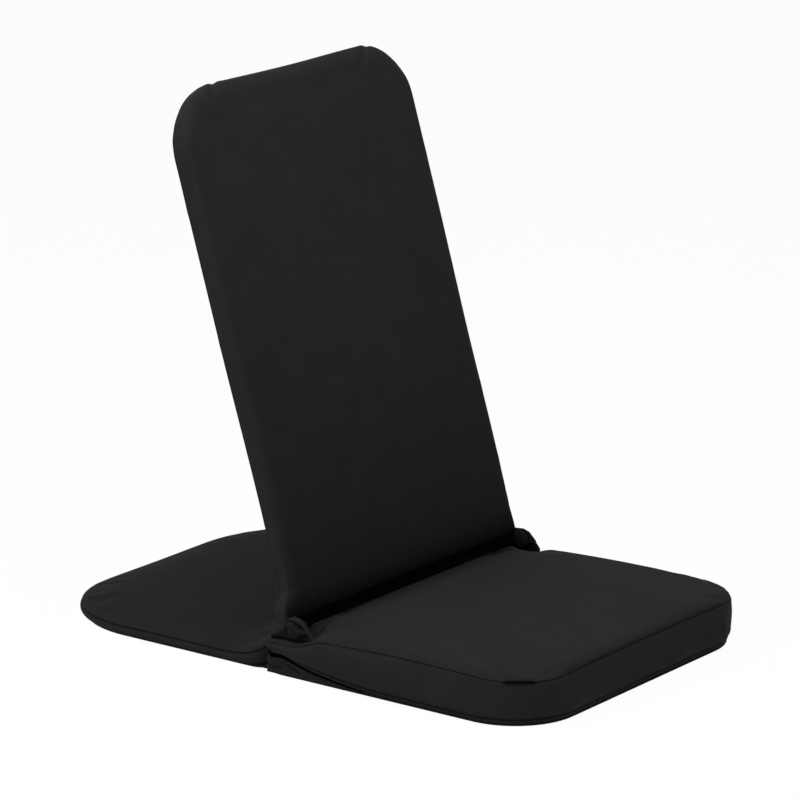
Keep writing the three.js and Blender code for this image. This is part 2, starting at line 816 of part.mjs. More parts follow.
const back = new THREE.Group();
back.add(
  part('back_frame', tube(backTube, backTubeWall, backFrameStations()), blackSteel),
  part('back_lower_bar', backLowerBar(), blackSteel),
  part('back_sling', backSling(), liningCloth),
  part('back_foam_front', backFoamFront(), foamGrey),
  part('back_foam_rear', backFoamRear(), foamGrey),
  part('back_cover_front', backCoverFront(), blackCloth),
  part('back_cover_band', backCoverBand(), blackCloth),
  part('back_cover_rear', backCoverRear(), blackCloth),
);
back.position.set(0, -creaseSetback, seatSeamHeight);
back.rotation.x = -backLean;

[['left', 1], ['right', -1]].forEach(([side, sign]) => {
  seat.add(
    part(`hinge_ear_${side}`, hingeEar(sign), zincSteel),
    part(`hinge_rivet_${side}`, hingeRivet(sign), zincSteel),
    part(`hinge_washer_${side}`, hingeWasher(sign), nylonWhite),
    part(`hinge_boot_${side}`, hingeBoot(sign), blackCloth),
  );
  back.add(part(`hinge_crank_${side}`, hingeCrank(sign), zincSteel));
});

const tail = new THREE.Group();
tail.add(
  part('tail_rod', tube(tailRod, 0, tailRodStations()), blackSteel),
  part('tail_foam', tailFoam(), foamGrey),
  part('tail_cover_top', tailCoverTop(), blackCloth),
  part('tail_cover_band', tailCoverBand(), blackCloth),
  part('tail_cover_base', tailCoverBase(), liningCloth),
);

const group = new THREE.Group();
group.name = 'folding_floor_chair';
group.add(seat, back, tail);
group.position.y = (seatDepth - tailLength) / 2;

export default group;
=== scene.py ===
"""Dresses a folding floor chair: padded cloth pads, sewn seams, hinge covers and a studio.

The chair faces -Y and Z is up. All sizes are in metres.
"""

import json
import math

import bmesh
import bpy
import numpy as np
from bpy.props import FloatProperty, FloatVectorProperty, IntProperty, PointerProperty
from mathutils import Matrix, Vector
from mathutils.bvhtree import BVHTree


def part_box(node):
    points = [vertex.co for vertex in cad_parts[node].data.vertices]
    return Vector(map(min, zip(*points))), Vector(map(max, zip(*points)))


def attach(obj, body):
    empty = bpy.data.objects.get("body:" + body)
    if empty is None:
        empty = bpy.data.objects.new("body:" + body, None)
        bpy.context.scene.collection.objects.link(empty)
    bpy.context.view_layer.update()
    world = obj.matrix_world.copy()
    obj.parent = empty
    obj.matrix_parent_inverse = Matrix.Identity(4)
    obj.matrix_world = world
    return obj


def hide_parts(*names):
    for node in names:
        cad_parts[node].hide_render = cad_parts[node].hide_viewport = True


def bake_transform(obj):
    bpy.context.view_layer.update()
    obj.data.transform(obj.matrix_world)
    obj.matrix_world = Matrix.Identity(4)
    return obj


bl_info = {
    "name": "Folding floor chair",
    "version": (1, 0, 0),
    "blender": (4, 5, 0),
    "location": "View3D > Sidebar > Floor Chair",
    "description": "Pads, seams, hinge covers and studio for a folding floor chair",
    "category": "Add Mesh",
}

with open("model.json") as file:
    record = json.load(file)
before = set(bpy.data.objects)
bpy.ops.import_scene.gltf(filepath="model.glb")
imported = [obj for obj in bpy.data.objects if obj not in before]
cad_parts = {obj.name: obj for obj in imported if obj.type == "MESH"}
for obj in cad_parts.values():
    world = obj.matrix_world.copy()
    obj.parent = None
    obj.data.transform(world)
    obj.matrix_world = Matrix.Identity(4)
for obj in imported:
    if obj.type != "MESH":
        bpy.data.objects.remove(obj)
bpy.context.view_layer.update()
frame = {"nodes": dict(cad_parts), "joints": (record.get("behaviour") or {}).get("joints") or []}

# Places that the frame gives, the back's lean and half the width of the hinge steel
SEAT_LOW, SEAT_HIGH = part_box("seat_cover_band")
TAIL_LOW, TAIL_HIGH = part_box("tail_cover_band")
JOINTS = {joint["name"]: joint for joint in frame["joints"]}
PIN = Vector(JOINTS["back_fold"]["pos_m"])
FOLD_Y = JOINTS["tail_fold"]["pos_m"][1]
LEAN = math.radians(17)
BACK_FOOT = Vector((0, -0.022, 0.048))
BACK_UP = Vector((0, math.sin(LEAN), math.cos(LEAN)))
BACK_DEPTH = Vector((0, math.cos(LEAN), -math.sin(LEAN)))
STEEL_HALF = 0.187


# Sizes and colours that a user would change
class ClothSettings(bpy.types.PropertyGroup):
    """The black woven cover cloth."""

    colour: FloatVectorProperty(
        name="Colour", description="Colour of the cover cloth", subtype="COLOR",
        size=4, min=0, max=1, default=(0.0201, 0.0201, 0.0207, 1))
    yarn: FloatProperty(
        name="Yarn pitch", description="Distance from yarn to yarn in the weave",
        default=0.0008, unit="LENGTH")
    weave_depth: FloatProperty(
        name="Weave depth", description="How far yarns stand out of the weave",
        default=0.00009, unit="LENGTH", precision=6)
    sheen: FloatProperty(
        name="Sheen", description="Weight of the soft shine of the fibres", default=0.015,
        min=0, max=1, subtype="FACTOR")
    stitch_pitch: FloatProperty(
        name="Stitch pitch", description="Distance from stitch to stitch",
        default=0.0045, unit="LENGTH")
    swell_frames: IntProperty(
        name="Swell frames", description="Frames for which a pad's cloth settles",
        default=20, min=1)


class SeatPadSettings(bpy.types.PropertyGroup):
    """The thick pad that is sat on."""

    crown: FloatProperty(
        name="Crown", description="Rise of the top panel's middle over its seam",
        default=0.0010, unit="LENGTH")
    seam_height: FloatProperty(
        name="Seam height", description="Height of the top seam over the floor",
        default=0.0475, unit="LENGTH")
    front_corner: FloatProperty(
        name="Front corner", description="Radius of the pad's front corners",
        default=0.074, unit="LENGTH")
    rear_corner: FloatProperty(
        name="Rear corner", description="Radius of the pad's rear corners",
        default=0.006, unit="LENGTH")
    swell: FloatProperty(
        name="Swell", description="Furthest that the cloth swells from its cut shape",
        default=0.0026, unit="LENGTH")
    seam_depth: FloatProperty(
        name="Seam depth", description="How far the top seam is drawn in",
        default=0.0042, unit="LENGTH")


class BackPadSettings(bpy.types.PropertyGroup):
    """The leaning back pad."""

    width: FloatProperty(
        name="Width", description="Width of the pad", default=0.3725, unit="LENGTH")
    length: FloatProperty(
        name="Length", description="Length of the pad from foot to top", default=0.5455,
        unit="LENGTH")
    thickness: FloatProperty(
        name="Thickness", description="Depth of the pad from front to rear panel",
        default=0.0255, unit="LENGTH")
    front_round: FloatProperty(
        name="Front round", description="Radius with which the front panel wraps the foam",
        default=0.0085, unit="LENGTH")
    top_corner: FloatProperty(
        name="Top corner", description="Radius of the top corners",
        default=0.065, unit="LENGTH")
    swell: FloatProperty(
        name="Swell", description="Furthest that the cloth swells from its cut shape",
        default=0.0010, unit="LENGTH")
    hem_rise: FloatProperty(
        name="Hem rise", description="How much higher the bottom hem is at the rear",
        default=0.004, unit="LENGTH")


class TailPadSettings(bpy.types.PropertyGroup):
    """The thin pad behind the back."""

    crown: FloatProperty(
        name="Crown", description="Rise of the top panel's middle over its seam",
        default=0.0050, unit="LENGTH")
    seam_height: FloatProperty(
        name="Seam height", description="Height of the seam over the floor",
        default=0.0100, unit="LENGTH")
    rear_corner: FloatProperty(
        name="Rear corner", description="Radius of the rear corners",
        default=0.112, unit="LENGTH")
    front_corner: FloatProperty(
        name="Front corner", description="Radius of the front corners",
        default=0.026, unit="LENGTH")
    swell: FloatProperty(
        name="Swell", description="Furthest that the cloth swells from its cut shape",
        default=0.0030, unit="LENGTH")


class StudioSettings(bpy.types.PropertyGroup):
    """The photographer's studio."""

    lens: FloatProperty(
        name="Lens", description="Focal length", default=211.7, subtype="DISTANCE_CAMERA")
    distance: FloatProperty(
        name="Distance", description="From the camera to the chair", default=4.793,
        unit="LENGTH")
    azimuth: FloatProperty(
        name="Azimuth", description="Turn of the camera round the chair",
        default=math.radians(-52.9), unit="ROTATION")
    elevation: FloatProperty(
        name="Elevation", description="Height of the camera as an angle",
        default=math.radians(15.46), unit="ROTATION")
    roll: FloatProperty(
        name="Roll", description="Turn of the camera about its view",
        default=math.radians(0.17), unit="ROTATION")
    top_power: FloatProperty(
        name="Top light", description="Power of the light overhead", default=3.8,
        unit="POWER")
    rear_power: FloatProperty(
        name="Rear light", description="Power of the light above the tail pad", default=8.2,
        unit="POWER")
    side_power: FloatProperty(
        name="Side light", description="Power of the light at the sitter's right",
        default=26, unit="POWER")
    front_power: FloatProperty(
        name="Front light", description="Power of the light in front", default=22,
        unit="POWER")
    ambient: FloatProperty(
        name="Ambient", description="Light from all round", default=0.03, min=0)


def settings(name):
    """The scene's values of one group, such as seat_pad."""
    return getattr(bpy.context.scene, "floor_chair_" + name)


# Outlines: a rounded rectangle, cut into as many steps on opposite sides
ARC_STEPS = 24
STRAIGHT_STEPS = 60
LEAST_RADIUS = 0.002


def smooth(low, high, value):
    """0 below low, 1 above high and an eased step between them."""
    share = np.clip((value - low) / (high - low), 0, 1)
    return share * share * (3 - 2 * share)


def side_points(centre_a, radius_a, centre_b, radius_b, angle, draw_in, count):
    """Points from the middle of one corner to just before the middle of the next."""
    turn = np.linspace(0, math.pi / 4, ARC_STEPS)
    first = centre_a + radius_a * np.column_stack([np.cos(angle + turn), np.sin(angle + turn)])
    second = angle + math.pi / 4 + turn
    last = centre_b + radius_b * np.column_stack([np.cos(second), np.sin(second)])
    along = np.linspace(0, 1, STRAIGHT_STEPS)[1:-1, None]
    inward = -np.array([math.cos(angle + math.pi / 4), math.sin(angle + math.pi / 4)])
    straight = first[-1] + (last[0] - first[-1]) * along
    straight = straight + inward * draw_in * np.sin(math.pi * along) ** 2
    path = np.vstack([first, straight, last])
    length = np.concatenate([[0], np.cumsum(np.linalg.norm(np.diff(path, axis=0), axis=1))])
    wanted = np.linspace(0, length[-1], count + 1)[:-1]
    return np.column_stack([np.interp(wanted, length, path[:, k]) for k in (0, 1)])


class PadPlan:
    """A pad's outline seen flat, and the grid that its panels are cut into."""

    def __init__(self, half, low, high, low_radius, high_radius, draw_in, columns, rows):
        self.half, self.low, self.high = half, low, high
        self.low_radius, self.high_radius = low_radius, high_radius
        self.draw_in, self.columns, self.rows = draw_in, columns, rows

    def loop(self, inset=0.0):
        """The outline moved in, from its low left corner round by its low side."""
        half, low, high = self.half - inset, self.low + inset, self.high - inset
        near = max(self.low_radius - inset, LEAST_RADIUS)
        far = max(self.high_radius - inset, LEAST_RADIUS)
        corners = [
            (np.array([near - half, low + near]), near),
            (np.array([half - near, low + near]), near),
            (np.array([half - far, high - far]), far),
            (np.array([far - half, high - far]), far)]
        sides = []
        for k, count in enumerate((self.columns, self.rows, self.columns, self.rows)):
            centre_a, radius_a = corners[k]
            centre_b, radius_b = corners[(k + 1) % 4]
            angle = math.radians(225 + 90 * k)
            sides.append(side_points(
                centre_a, radius_a, centre_b, radius_b, angle, self.draw_in, count))
        return np.vstack(sides)

    def panel(self, inset):
        """Grid of points that fills the outline moved in by inset. Its edge is the loop."""
        loop = self.loop(inset)
        closed = np.vstack([loop, loop[:1]])
        columns, rows = self.columns, self.rows
        u, v = np.meshgrid(np.linspace(-1, 1, columns + 1), np.linspace(-1, 1, rows + 1))
        reach = np.maximum(np.abs(u), np.abs(v))
        safe = np.where(reach > 0, reach, 1)
        across, up = u / safe, v / safe
        low_side = (across + 1) / 2 * columns
        right_side = columns + (up + 1) / 2 * rows
        high_side = columns + rows + (1 - across) / 2 * columns
        left_side = 2 * columns + rows + (1 - up) / 2 * rows
        sideways = np.abs(u) > np.abs(v)
        place = np.where(
            sideways, np.where(u > 0, right_side, left_side),
            np.where(v > 0, high_side, low_side))
        edge = np.stack(
            [np.interp(place, np.arange(len(closed)), closed[:, k]) for k in (0, 1)], axis=-1)
        centre = (loop.min(0) + loop.max(0)) / 2
        reach_xy = (loop.max(0) - loop.min(0)) / 2
        square = np.stack([across, up], axis=-1) * reach_xy
        weight = (reach ** 2)[..., None]
        return centre + reach[..., None] * (square * (1 - weight) + (edge - centre) * weight)

    def edge_indices(self):
        """Grid indices of the panel's edge, in the loop's order."""
        return grid_rim(self.columns, self.rows)


def grid_rim(columns, rows):
    """Indices round the edge of a grid that has one more point each way than it has cells."""
    wide = columns + 1
    low = list(range(columns))
    right = [j * wide + columns for j in range(rows)]
    high = [rows * wide + columns - i for i in range(columns)]
    left = [(rows - j) * wide for j in range(rows)]
    return low + right + high + left


def crown_share(flat, half, low, high):
    """1 in the middle of a panel, falling to 0 at its edges."""
    across = np.abs(flat[..., 0]) / half
    along = np.abs(flat[..., 1] - (low + high) / 2) / ((high - low) / 2)
    return 1 - np.maximum(across, along) ** 4


def lift(flat, height):
    """Flat points with a height, which is a number or an array."""
    return np.concatenate([flat, np.broadcast_to(height, flat.shape[:-1])[..., None]], axis=-1)


# Meshes
def add_piece(name, points, faces, uvs=None):
    """A new mesh object. uvs holds one pair for each corner of each face."""
    mesh = bpy.data.meshes.new(name)
    mesh.from_pydata([tuple(point) for point in points], [], [tuple(face) for face in faces])
    if uvs is not None:
        layer = mesh.uv_layers.new(name="cloth")
        layer.data.foreach_set("uv", np.asarray(uvs, float).ravel())
    mesh.validate()
    mesh.update()
    mesh.shade_smooth()
    piece = bpy.data.objects.new(name, mesh)
    bpy.context.scene.collection.objects.link(piece)
    return piece


def coordinates(piece):
    """The piece's vertices, one row each."""
    values = np.zeros(len(piece.data.vertices) * 3)
    piece.data.vertices.foreach_get("co", values)
    return values.reshape(-1, 3)


def set_coordinates(piece, points):
    """Moves the piece's vertices."""
    piece.data.vertices.foreach_set("co", np.asarray(points, float).ravel())
    piece.data.update()


def normals(piece):
    """The outward direction at each vertex."""
    values = np.zeros(len(piece.data.vertices) * 3)
    piece.data.vertex_normals.foreach_get("vector", values)
    return values.reshape(-1, 3)


def pad_mesh(name, plan, bottom, rings, top):
    """A closed pad: a bottom panel, rings of points up its sides and a top panel.

    Returns the piece and the indices of each ring's vertices.
    """
    wide, tall = plan.columns + 1, plan.rows + 1
    edge = plan.edge_indices()
    count = len(edge)
    points = np.vstack([bottom.reshape(-1, 3), *rings, top.reshape(-1, 3)])
    first_ring = wide * tall
    top_start = first_ring + count * len(rings)
    ring_indices = [[first_ring + k * count + i for i in range(count)] for k in range(len(rings))]
    loops = [edge, *ring_indices, [top_start + i for i in edge]]
    faces, uvs = [], []

    flat = plan.panel(0)

    def panel(start, upwards):
        for j in range(plan.rows):
            for i in range(plan.columns):
                corners = [(j, i), (j, i + 1), (j + 1, i + 1), (j + 1, i)]
                if not upwards:
                    corners.reverse()
                faces.append([start + a * wide + b for a, b in corners])
                uvs.extend(flat[a, b, :2] for a, b in corners)

    panel(0, False)
    panel(top_start, True)
    middle = points[loops[len(loops) // 2]]
    around = np.linalg.norm(np.roll(middle, -1, axis=0) - middle, axis=1)
    arc = np.concatenate([[0], np.cumsum(around)])
    steps = [
        np.linalg.norm(points[after] - points[before], axis=1).mean()
        for before, after in zip(loops, loops[1:])]
    height = np.concatenate([[0], np.cumsum(steps)])
    for k, (before, after) in enumerate(zip(loops, loops[1:])):
        for i in range(count):
            j = (i + 1) % count
            faces.append([before[i], before[j], after[j], after[i]])
            uvs.extend([
                (arc[i], height[k]), (arc[i + 1], height[k]),
                (arc[i + 1], height[k + 1]), (arc[i], height[k + 1])])
    return add_piece(name, points, faces, uvs), loops


# Cloth: how it answers to pressure, and what is kept of its moves sideways and inwards
FABRIC = {
    "quality": 6, "mass": 0.25, "tension_stiffness": 18, "compression_stiffness": 18,
    "shear_stiffness": 6, "bending_stiffness": 0.4, "use_pressure": True,
    "uniform_pressure_force": 4, "pin_stiffness": 1}
SIDEWAYS_SHARE = 0.3
INWARD_SHARE = 0.15


def swell(piece, pinned, cap, slack, slack_weights):
    """Lets the pad's cloth fill under pressure, held at its seams, by no more than a cap."""
    start, outward = coordinates(piece), normals(piece)
    held = piece.vertex_groups.new(name="held")
    held.add([int(i) for i in sorted(pinned)], 1, "REPLACE")
    loose = piece.vertex_groups.new(name="loose")
    for index, weight in enumerate(slack_weights):
        loose.add([index], float(weight), "REPLACE")
    cloth = piece.modifiers.new("Cloth", "CLOTH")
    for key, value in FABRIC.items():
        setattr(cloth.settings, key, value)
    cloth.settings.effector_weights.gravity = 0
    cloth.settings.vertex_group_mass = held.name
    cloth.settings.shrink_min = 0
    cloth.settings.shrink_max = -slack
    cloth.settings.vertex_group_shrink = loose.name
    cloth.collision_settings.use_collision = False
    cloth.collision_settings.use_self_collision = False
    frames = settings("cloth").swell_frames
    cloth.point_cache.frame_start = 1
    cloth.point_cache.frame_end = frames
    scene = bpy.context.scene
    for number in range(1, frames + 1):
        scene.frame_set(number)
    settled = piece.evaluated_get(bpy.context.evaluated_depsgraph_get())
    moved = np.array([vertex.co for vertex in settled.data.vertices]) - start
    along = (moved * outward).sum(1)
    sideways = moved - outward * along[:, None]
    along = np.where(along < 0, INWARD_SHARE * along, along)
    moved = SIDEWAYS_SHARE * sideways + outward * along[:, None]
    far = np.linalg.norm(moved, axis=1)
    share = np.where(far > 0, cap * np.tanh(far / cap) / np.maximum(far, 1e-9), 0)
    piece.modifiers.remove(cloth)
    scene.frame_set(1)
    piece.vertex_groups.clear()
    set_coordinates(piece, start + moved * share[:, None])


def refine(piece):
    """One level of subdivision, applied."""
    modifier = piece.modifiers.new("Smooth", "SUBSURF")
    modifier.levels = modifier.render_levels = 1
    modifier.uv_smooth = "PRESERVE_BOUNDARIES"
    evaluated = piece.evaluated_get(bpy.context.evaluated_depsgraph_get())
    mesh = bpy.data.meshes.new_from_object(evaluated)
    piece.modifiers.clear()
    old = piece.data
    piece.data = mesh
    mesh.name = piece.name
    bpy.data.meshes.remove(old)
    mesh.shade_smooth()


def segment_distance(points, start, end):
    """Distance of each point from a straight segment, and its share of the way along."""
    start, end = np.asarray(start, float), np.asarray(end, float)
    along = end - start
    share = np.clip((points - start) @ along / (along @ along), 0, 1)
    return np.linalg.norm(points - (start + share[:, None] * along), axis=1), share


def path_distance(points, path):
    """Distance of each point from the nearest part of a path."""
    nearest = np.full(len(points), np.inf)
    for start, end in zip(path, path[1:]):
        nearest = np.minimum(nearest, segment_distance(points, start, end)[0])
    return nearest


def press_folds(piece, folds):
    """Raises or sinks soft folds. Each is (start, end, half width, height)."""
    points, outward = coordinates(piece), normals(piece)
    shift = np.zeros(len(points))
    for start, end, width, height in folds:
        away, share = segment_distance(points, start, end)
        fade = np.sin(math.pi * np.clip(share * 0.9 + 0.05, 0, 1)) ** 0.7
        shift += height * fade * np.exp(-(away / width) ** 2)
    set_coordinates(piece, points + outward * shift[:, None])


def press_path(piece, path, width, height, fade):
    """Raises or sinks one fold along a path, faded by fade(points)."""
    points = coordinates(piece)
    away = path_distance(points, np.asarray(path, float))
    shift = height * fade(points) * np.exp(-(away / width) ** 2)
    set_coordinates(piece, points + normals(piece) * shift[:, None])


def paint_shade(piece, values):
    """Stores painted shade at each point, from 0 to 1, darkest in seams, creases and recesses."""
    # Painted shade: the cloth's colour is scaled down by this value
    attribute = piece.data.attributes.new("crevice", "FLOAT", "POINT")
    attribute.data.foreach_set("value", np.clip(values, 0, 0.95).astype(np.float32))


def line_creases(piece, least=0.62):
    """Gives the faces with the deepest painted shade the crease cloth, which is painted darker as
    shade.
    """
    mesh = piece.data
    mesh.materials.append(crease_shade_cloth())
    depth = np.zeros(len(mesh.vertices), np.float32)
    mesh.attributes["crevice"].data.foreach_get("value", depth)
    for face in mesh.polygons:
        if depth[list(face.vertices)].mean() > least:
            face.material_index = len(mesh.materials) - 1


def near_path(points, path, width):
    """1 on a path, fading to 0 a few widths away."""
    return np.exp(-(path_distance(points, np.asarray(path, float)) / width) ** 2)


# Materials: colours that the cloth's own colour doesn't give
# CREASE is the cover cloth's colour darkened with painted shade, for deep creases
CREASE = (0.004, 0.004, 0.0042)
THREAD = (0.015, 0.015, 0.0155)
SLING_CLOTH = (0.03, 0.03, 0.032)
BLACK_COAT = (0.02, 0.02, 0.021)
ZINC = (0.52, 0.52, 0.54)
NYLON = (0.7, 0.69, 0.65)


class NodeTree:
    """Adds nodes to a material and links them."""

    def __init__(self, name):
        self.material = bpy.data.materials.new(name)
        self.material.use_nodes = True
        self.tree = self.material.node_tree
        self.tree.nodes.clear()
        self.output = self.tree.nodes.new("ShaderNodeOutputMaterial")

    def add(self, kind, options=None, **inputs):
        """A new node. Inputs go by name, or by number with a leading underscore."""
        node = self.tree.nodes.new("ShaderNode" + kind)
        for key, value in (options or {}).items():
            setattr(node, key, value)
        for key, value in inputs.items():
            name = key.replace("_", " ")
            socket = node.inputs[int(key[1:])] if key[1:].isdigit() else node.inputs[name]
            if isinstance(value, bpy.types.NodeSocket):
                self.tree.links.new(value, socket)
            else:
                socket.default_value = value
        return node

    def math(self, operation, a, b=0.0, c=None):
        """Result of a math node. c is the third input, where the operation has one."""
        node = self.add("Math", {"operation": operation}, _0=a, _1=b)
        if c is not None:
            node.inputs[2].default_value = c
        return node.outputs[0]

    def surface(self, shader):
        """Ends the material in a shader and returns it."""
        self.tree.links.new(shader.outputs[0], self.output.inputs["Surface"])
        return self.material

    def shaded(self, colour, shade, roughness, bump, **more):
        """Ends the material in a surface whose colour is scaled by shade."""
        tint = self.add("VectorMath", {"operation": "SCALE"}, _0=colour, Scale=shade)
        shader = self.add("BsdfPrincipled", Base_Color=tint.outputs[0], Roughness=roughness,
                          Normal=bump.outputs["Normal"], **more)
        return self.surface(shader)


def cloth_material(name, colour, yarn, depth, sheen, lint, gloss=0.03):
    """Plain-woven cloth. The weave follows the piece's own flat pattern."""
    nodes = NodeTree(name)
    flat = nodes.add("UVMap", {"uv_map": "cloth"}).outputs["UV"]
    place = nodes.add("TexCoord").outputs["Object"]
    split = nodes.add("SeparateXYZ", Vector=flat)
    turns = 2 * math.pi / (2 * yarn)
    wander = nodes.add("TexNoise", Vector=place, Scale=160.0, Detail=2.0).outputs["Fac"]
    drift = nodes.math("MULTIPLY", wander, 1.1)
    warp = nodes.math("SINE", nodes.math(
        "ADD", nodes.math("MULTIPLY", split.outputs["X"], turns), drift))
    weft = nodes.math("SINE", nodes.math(
        "ADD", nodes.math("MULTIPLY", split.outputs["Y"], turns), drift))
    weave = nodes.math("MULTIPLY_ADD", nodes.math("MULTIPLY", warp, weft), 0.5, 0.5)
    fibre = nodes.add("TexNoise", Vector=place, Scale=2600.0, Detail=3.0, Roughness=0.7)
    height = nodes.math("ADD", weave, nodes.math("MULTIPLY", fibre.outputs["Fac"], 0.5))
    blotch = nodes.add("TexNoise", Vector=place, Scale=26.0, Detail=5.0, Roughness=0.62)
    mottle = nodes.add("TexNoise", Vector=place, Scale=420.0, Detail=3.0, Roughness=0.6)
    shade = nodes.math("ADD", nodes.math("MULTIPLY", blotch.outputs["Fac"], 0.40),
                       nodes.math("MULTIPLY", mottle.outputs["Fac"], 0.52))
    shade = nodes.math("ADD", shade, nodes.math("MULTIPLY", height, 0.30))
    shade = nodes.math("ADD", shade, 0.32)
    # Painted shade from the mesh's attribute darkens the colour
    crevice = nodes.add("Attribute", {"attribute_name": "crevice"}).outputs["Fac"]
    shade = nodes.math("MULTIPLY", shade, nodes.math("SUBTRACT", 1.0, crevice))
    speck = nodes.add("TexVoronoi", {"feature": "F1"}, Vector=place, Scale=70.0)
    speck = nodes.math("LESS_THAN", speck.outputs["Distance"], lint)
    shade = nodes.math("ADD", shade, nodes.math("MULTIPLY", speck, 1.6))
    crinkle = nodes.add("TexNoise", Vector=place, Scale=55.0, Detail=4.0, Roughness=0.55)
    soft = nodes.add("Bump", Strength=0.5, Distance=0.0011, Height=crinkle.outputs["Fac"])
    bump = nodes.add("Bump", Strength=0.7, Distance=depth, Height=height,
                     Normal=soft.outputs["Normal"])
    return nodes.shaded(tuple(colour)[:3], shade, 0.88, bump, Specular_IOR_Level=gloss,
                        Sheen_Weight=sheen, Sheen_Roughness=0.45)


def metal_material(name, colour, roughness, metallic, brushed):
    """Plated or powder-coated steel, with fine marks."""
    nodes = NodeTree(name)
    place = nodes.add("TexCoord").outputs["Object"]
    stretch = nodes.add("Mapping", Vector=place, Scale=brushed)
    grain = nodes.add("TexNoise", Vector=stretch.outputs[0], Scale=900.0, Detail=3.0)
    cloud = nodes.add("TexNoise", Vector=place, Scale=90.0, Detail=3.0)
    shade = nodes.math("MULTIPLY_ADD", cloud.outputs["Fac"], 0.35, 0.8)
    rough = nodes.math("MULTIPLY_ADD", grain.outputs["Fac"], 0.2, roughness - 0.1)
    bump = nodes.add("Bump", Strength=0.25, Distance=0.00006, Height=grain.outputs["Fac"])
    return nodes.shaded(colour, shade, rough, bump, Metallic=metallic)


def plastic_material(name, colour):
    """Moulded nylon."""
    nodes = NodeTree(name)
    place = nodes.add("TexCoord").outputs["Object"]
    cloud = nodes.add("TexNoise", Vector=place, Scale=300.0, Detail=3.0)
    shade = nodes.math("MULTIPLY_ADD", cloud.outputs["Fac"], 0.2, 0.9)
    bump = nodes.add("Bump", Strength=0.2, Distance=0.00004, Height=cloud.outputs["Fac"])
    return nodes.shaded(colour, shade, 0.55, bump)


def cover_cloth():
    """The cloth of the pads and hinge covers."""
    cloth, name = settings("cloth"), "cover_cloth_black"
    return bpy.data.materials.get(name) or cloth_material(
        name, cloth.colour, cloth.yarn, cloth.weave_depth, cloth.sheen, 0.022)


def crease_shade_cloth():
    """The same cloth, painted darker as shade for deep creases where light doesn't reach."""
    cloth, name = settings("cloth"), "crease_cloth_black"
    return bpy.data.materials.get(name) or cloth_material(
        name, CREASE, cloth.yarn, cloth.weave_depth, 0.0, 0.0, 0.01)


def base_cloth():
    """The coarser cloth under the chair."""
    cloth, name = settings("cloth"), "base_cloth_black"
    colour = [value * 0.9 for value in cloth.colour]
    return bpy.data.materials.get(name) or cloth_material(
        name, colour, cloth.yarn * 1.6, cloth.weave_depth * 1.3, cloth.sheen, 0.0)


# Pads
def seam_marks(points, seams, reach):
    """How close each point is to a seam, from 1 on it to 0 at reach."""
    nearest = np.full(len(points), np.inf)
    for seam in seams:
        nearest = np.minimum(nearest, path_distance(points, np.vstack([seam, seam[:1]])))
    return np.clip(1 - nearest / reach, 0, 1)


def seat_seam(flat):
    """Height of the seat's top seam: it dips beside the hinges and falls behind the back."""
    x, y = np.abs(flat[..., 0]), flat[..., 1]
    corner = smooth(0.160, 0.189, x)
    dip = 0.0115 * corner * smooth(-0.062, -0.022, y) + 0.0030 * corner * smooth(-0.16, -0.05, y)
    fall = 0.026 * smooth(-0.034, 0.012, y) * (1 - corner)
    far = 0.0034 * smooth(0.10, 0.19, flat[..., 0])
    away = np.hypot(flat[..., 0] + 0.172, y + 0.288)
    sag = 0.0042 * np.exp(-(away / 0.042) ** 2)
    return settings("seat_pad").seam_height - dip - fall - far - sag


def seat_floor(flat):
    """Height of the seat pad's base edge: near the hinges it is pulled off the floor."""
    x, y = np.abs(flat[..., 0]), flat[..., 1]
    near = smooth(0.150, 0.192, x)
    lifted = np.interp(y, [-0.130, -0.100, -0.075, -0.055, -0.038, -0.027, -0.015, -0.004, 0.012],
                       [0, 0.0014, 0.0042, 0.0072, 0.0102, 0.0134, 0.0176, 0.0200, 0.0186])
    return 0.0012 + lifted * near


def seat_crease(side):
    """The seat's rear top edge beside the back, from its outer end inwards."""
    return [(side * 0.1960, -0.0365, 0.0480), (side * 0.1620, -0.0335, 0.0505),
            (side * 0.1120, -0.0285, 0.0512), (side * 0.0620, -0.0245, 0.0510)]


def beside_back(points):
    """1 where the seat's crease shows on either side of the back's middle."""
    across = np.abs(points[:, 0])
    return smooth(0.045, 0.100, across) * (1 - smooth(0.140, 0.176, across))


def mirrored(folds):
    """Folds given for one side of the chair, for both its sides."""
    return [((side * a[0], *a[1:]), (side * b[0], *b[1:]), width, height)
            for side in (-1, 1) for a, b, width, height in folds]


# Folds of the seat's boxing, as start, end, half width and height
SEAT_SIDE_FOLDS = [
    ((0.2, -0.060, 0.030), (0.2, 0.004, 0.027), 0.0070, 0.0018),
    ((0.2, -0.150, 0.034), (0.2, -0.070, 0.040), 0.0060, 0.0015),
    ((0.2, -0.120, 0.018), (0.2, -0.045, 0.024), 0.0055, -0.0018),
    ((0.2, -0.175, 0.020), (0.2, -0.125, 0.030), 0.0055, 0.0013),
    ((0.2, -0.235, 0.012), (0.2, -0.190, 0.026), 0.0060, 0.0015),
    ((0.197, -0.265, 0.036), (0.2, -0.215, 0.022), 0.0055, -0.0014)]
SEAT_FRONT_FOLDS = [
    ((0.150, -0.3135, 0.042), (0.172, -0.3050, 0.010), 0.0055, -0.0016),
    ((0.128, -0.3150, 0.044), (0.140, -0.3150, 0.010), 0.0055, 0.0015),
    ((0.085, -0.3155, 0.040), (0.100, -0.3155, 0.016), 0.0055, -0.0012),
    ((0.030, -0.3155, 0.010), (0.075, -0.3155, 0.022), 0.0060, 0.0013),
    ((-0.060, -0.3155, 0.036), (-0.020, -0.3155, 0.016), 0.0065, -0.0012),
    ((-0.140, -0.3130, 0.012), (-0.100, -0.3155, 0.022), 0.0065, 0.0013),
    ((-0.187, -0.285, 0.040), (-0.170, -0.300, 0.018), 0.0055, 0.0012)]
# A slit along the seam at the corner on the sitter's right
SEAT_SLIT = [(-0.1868, -0.2762, 0.0442), (-0.1800, -0.2862, 0.0440), (-0.1712, -0.2952, 0.0440)]


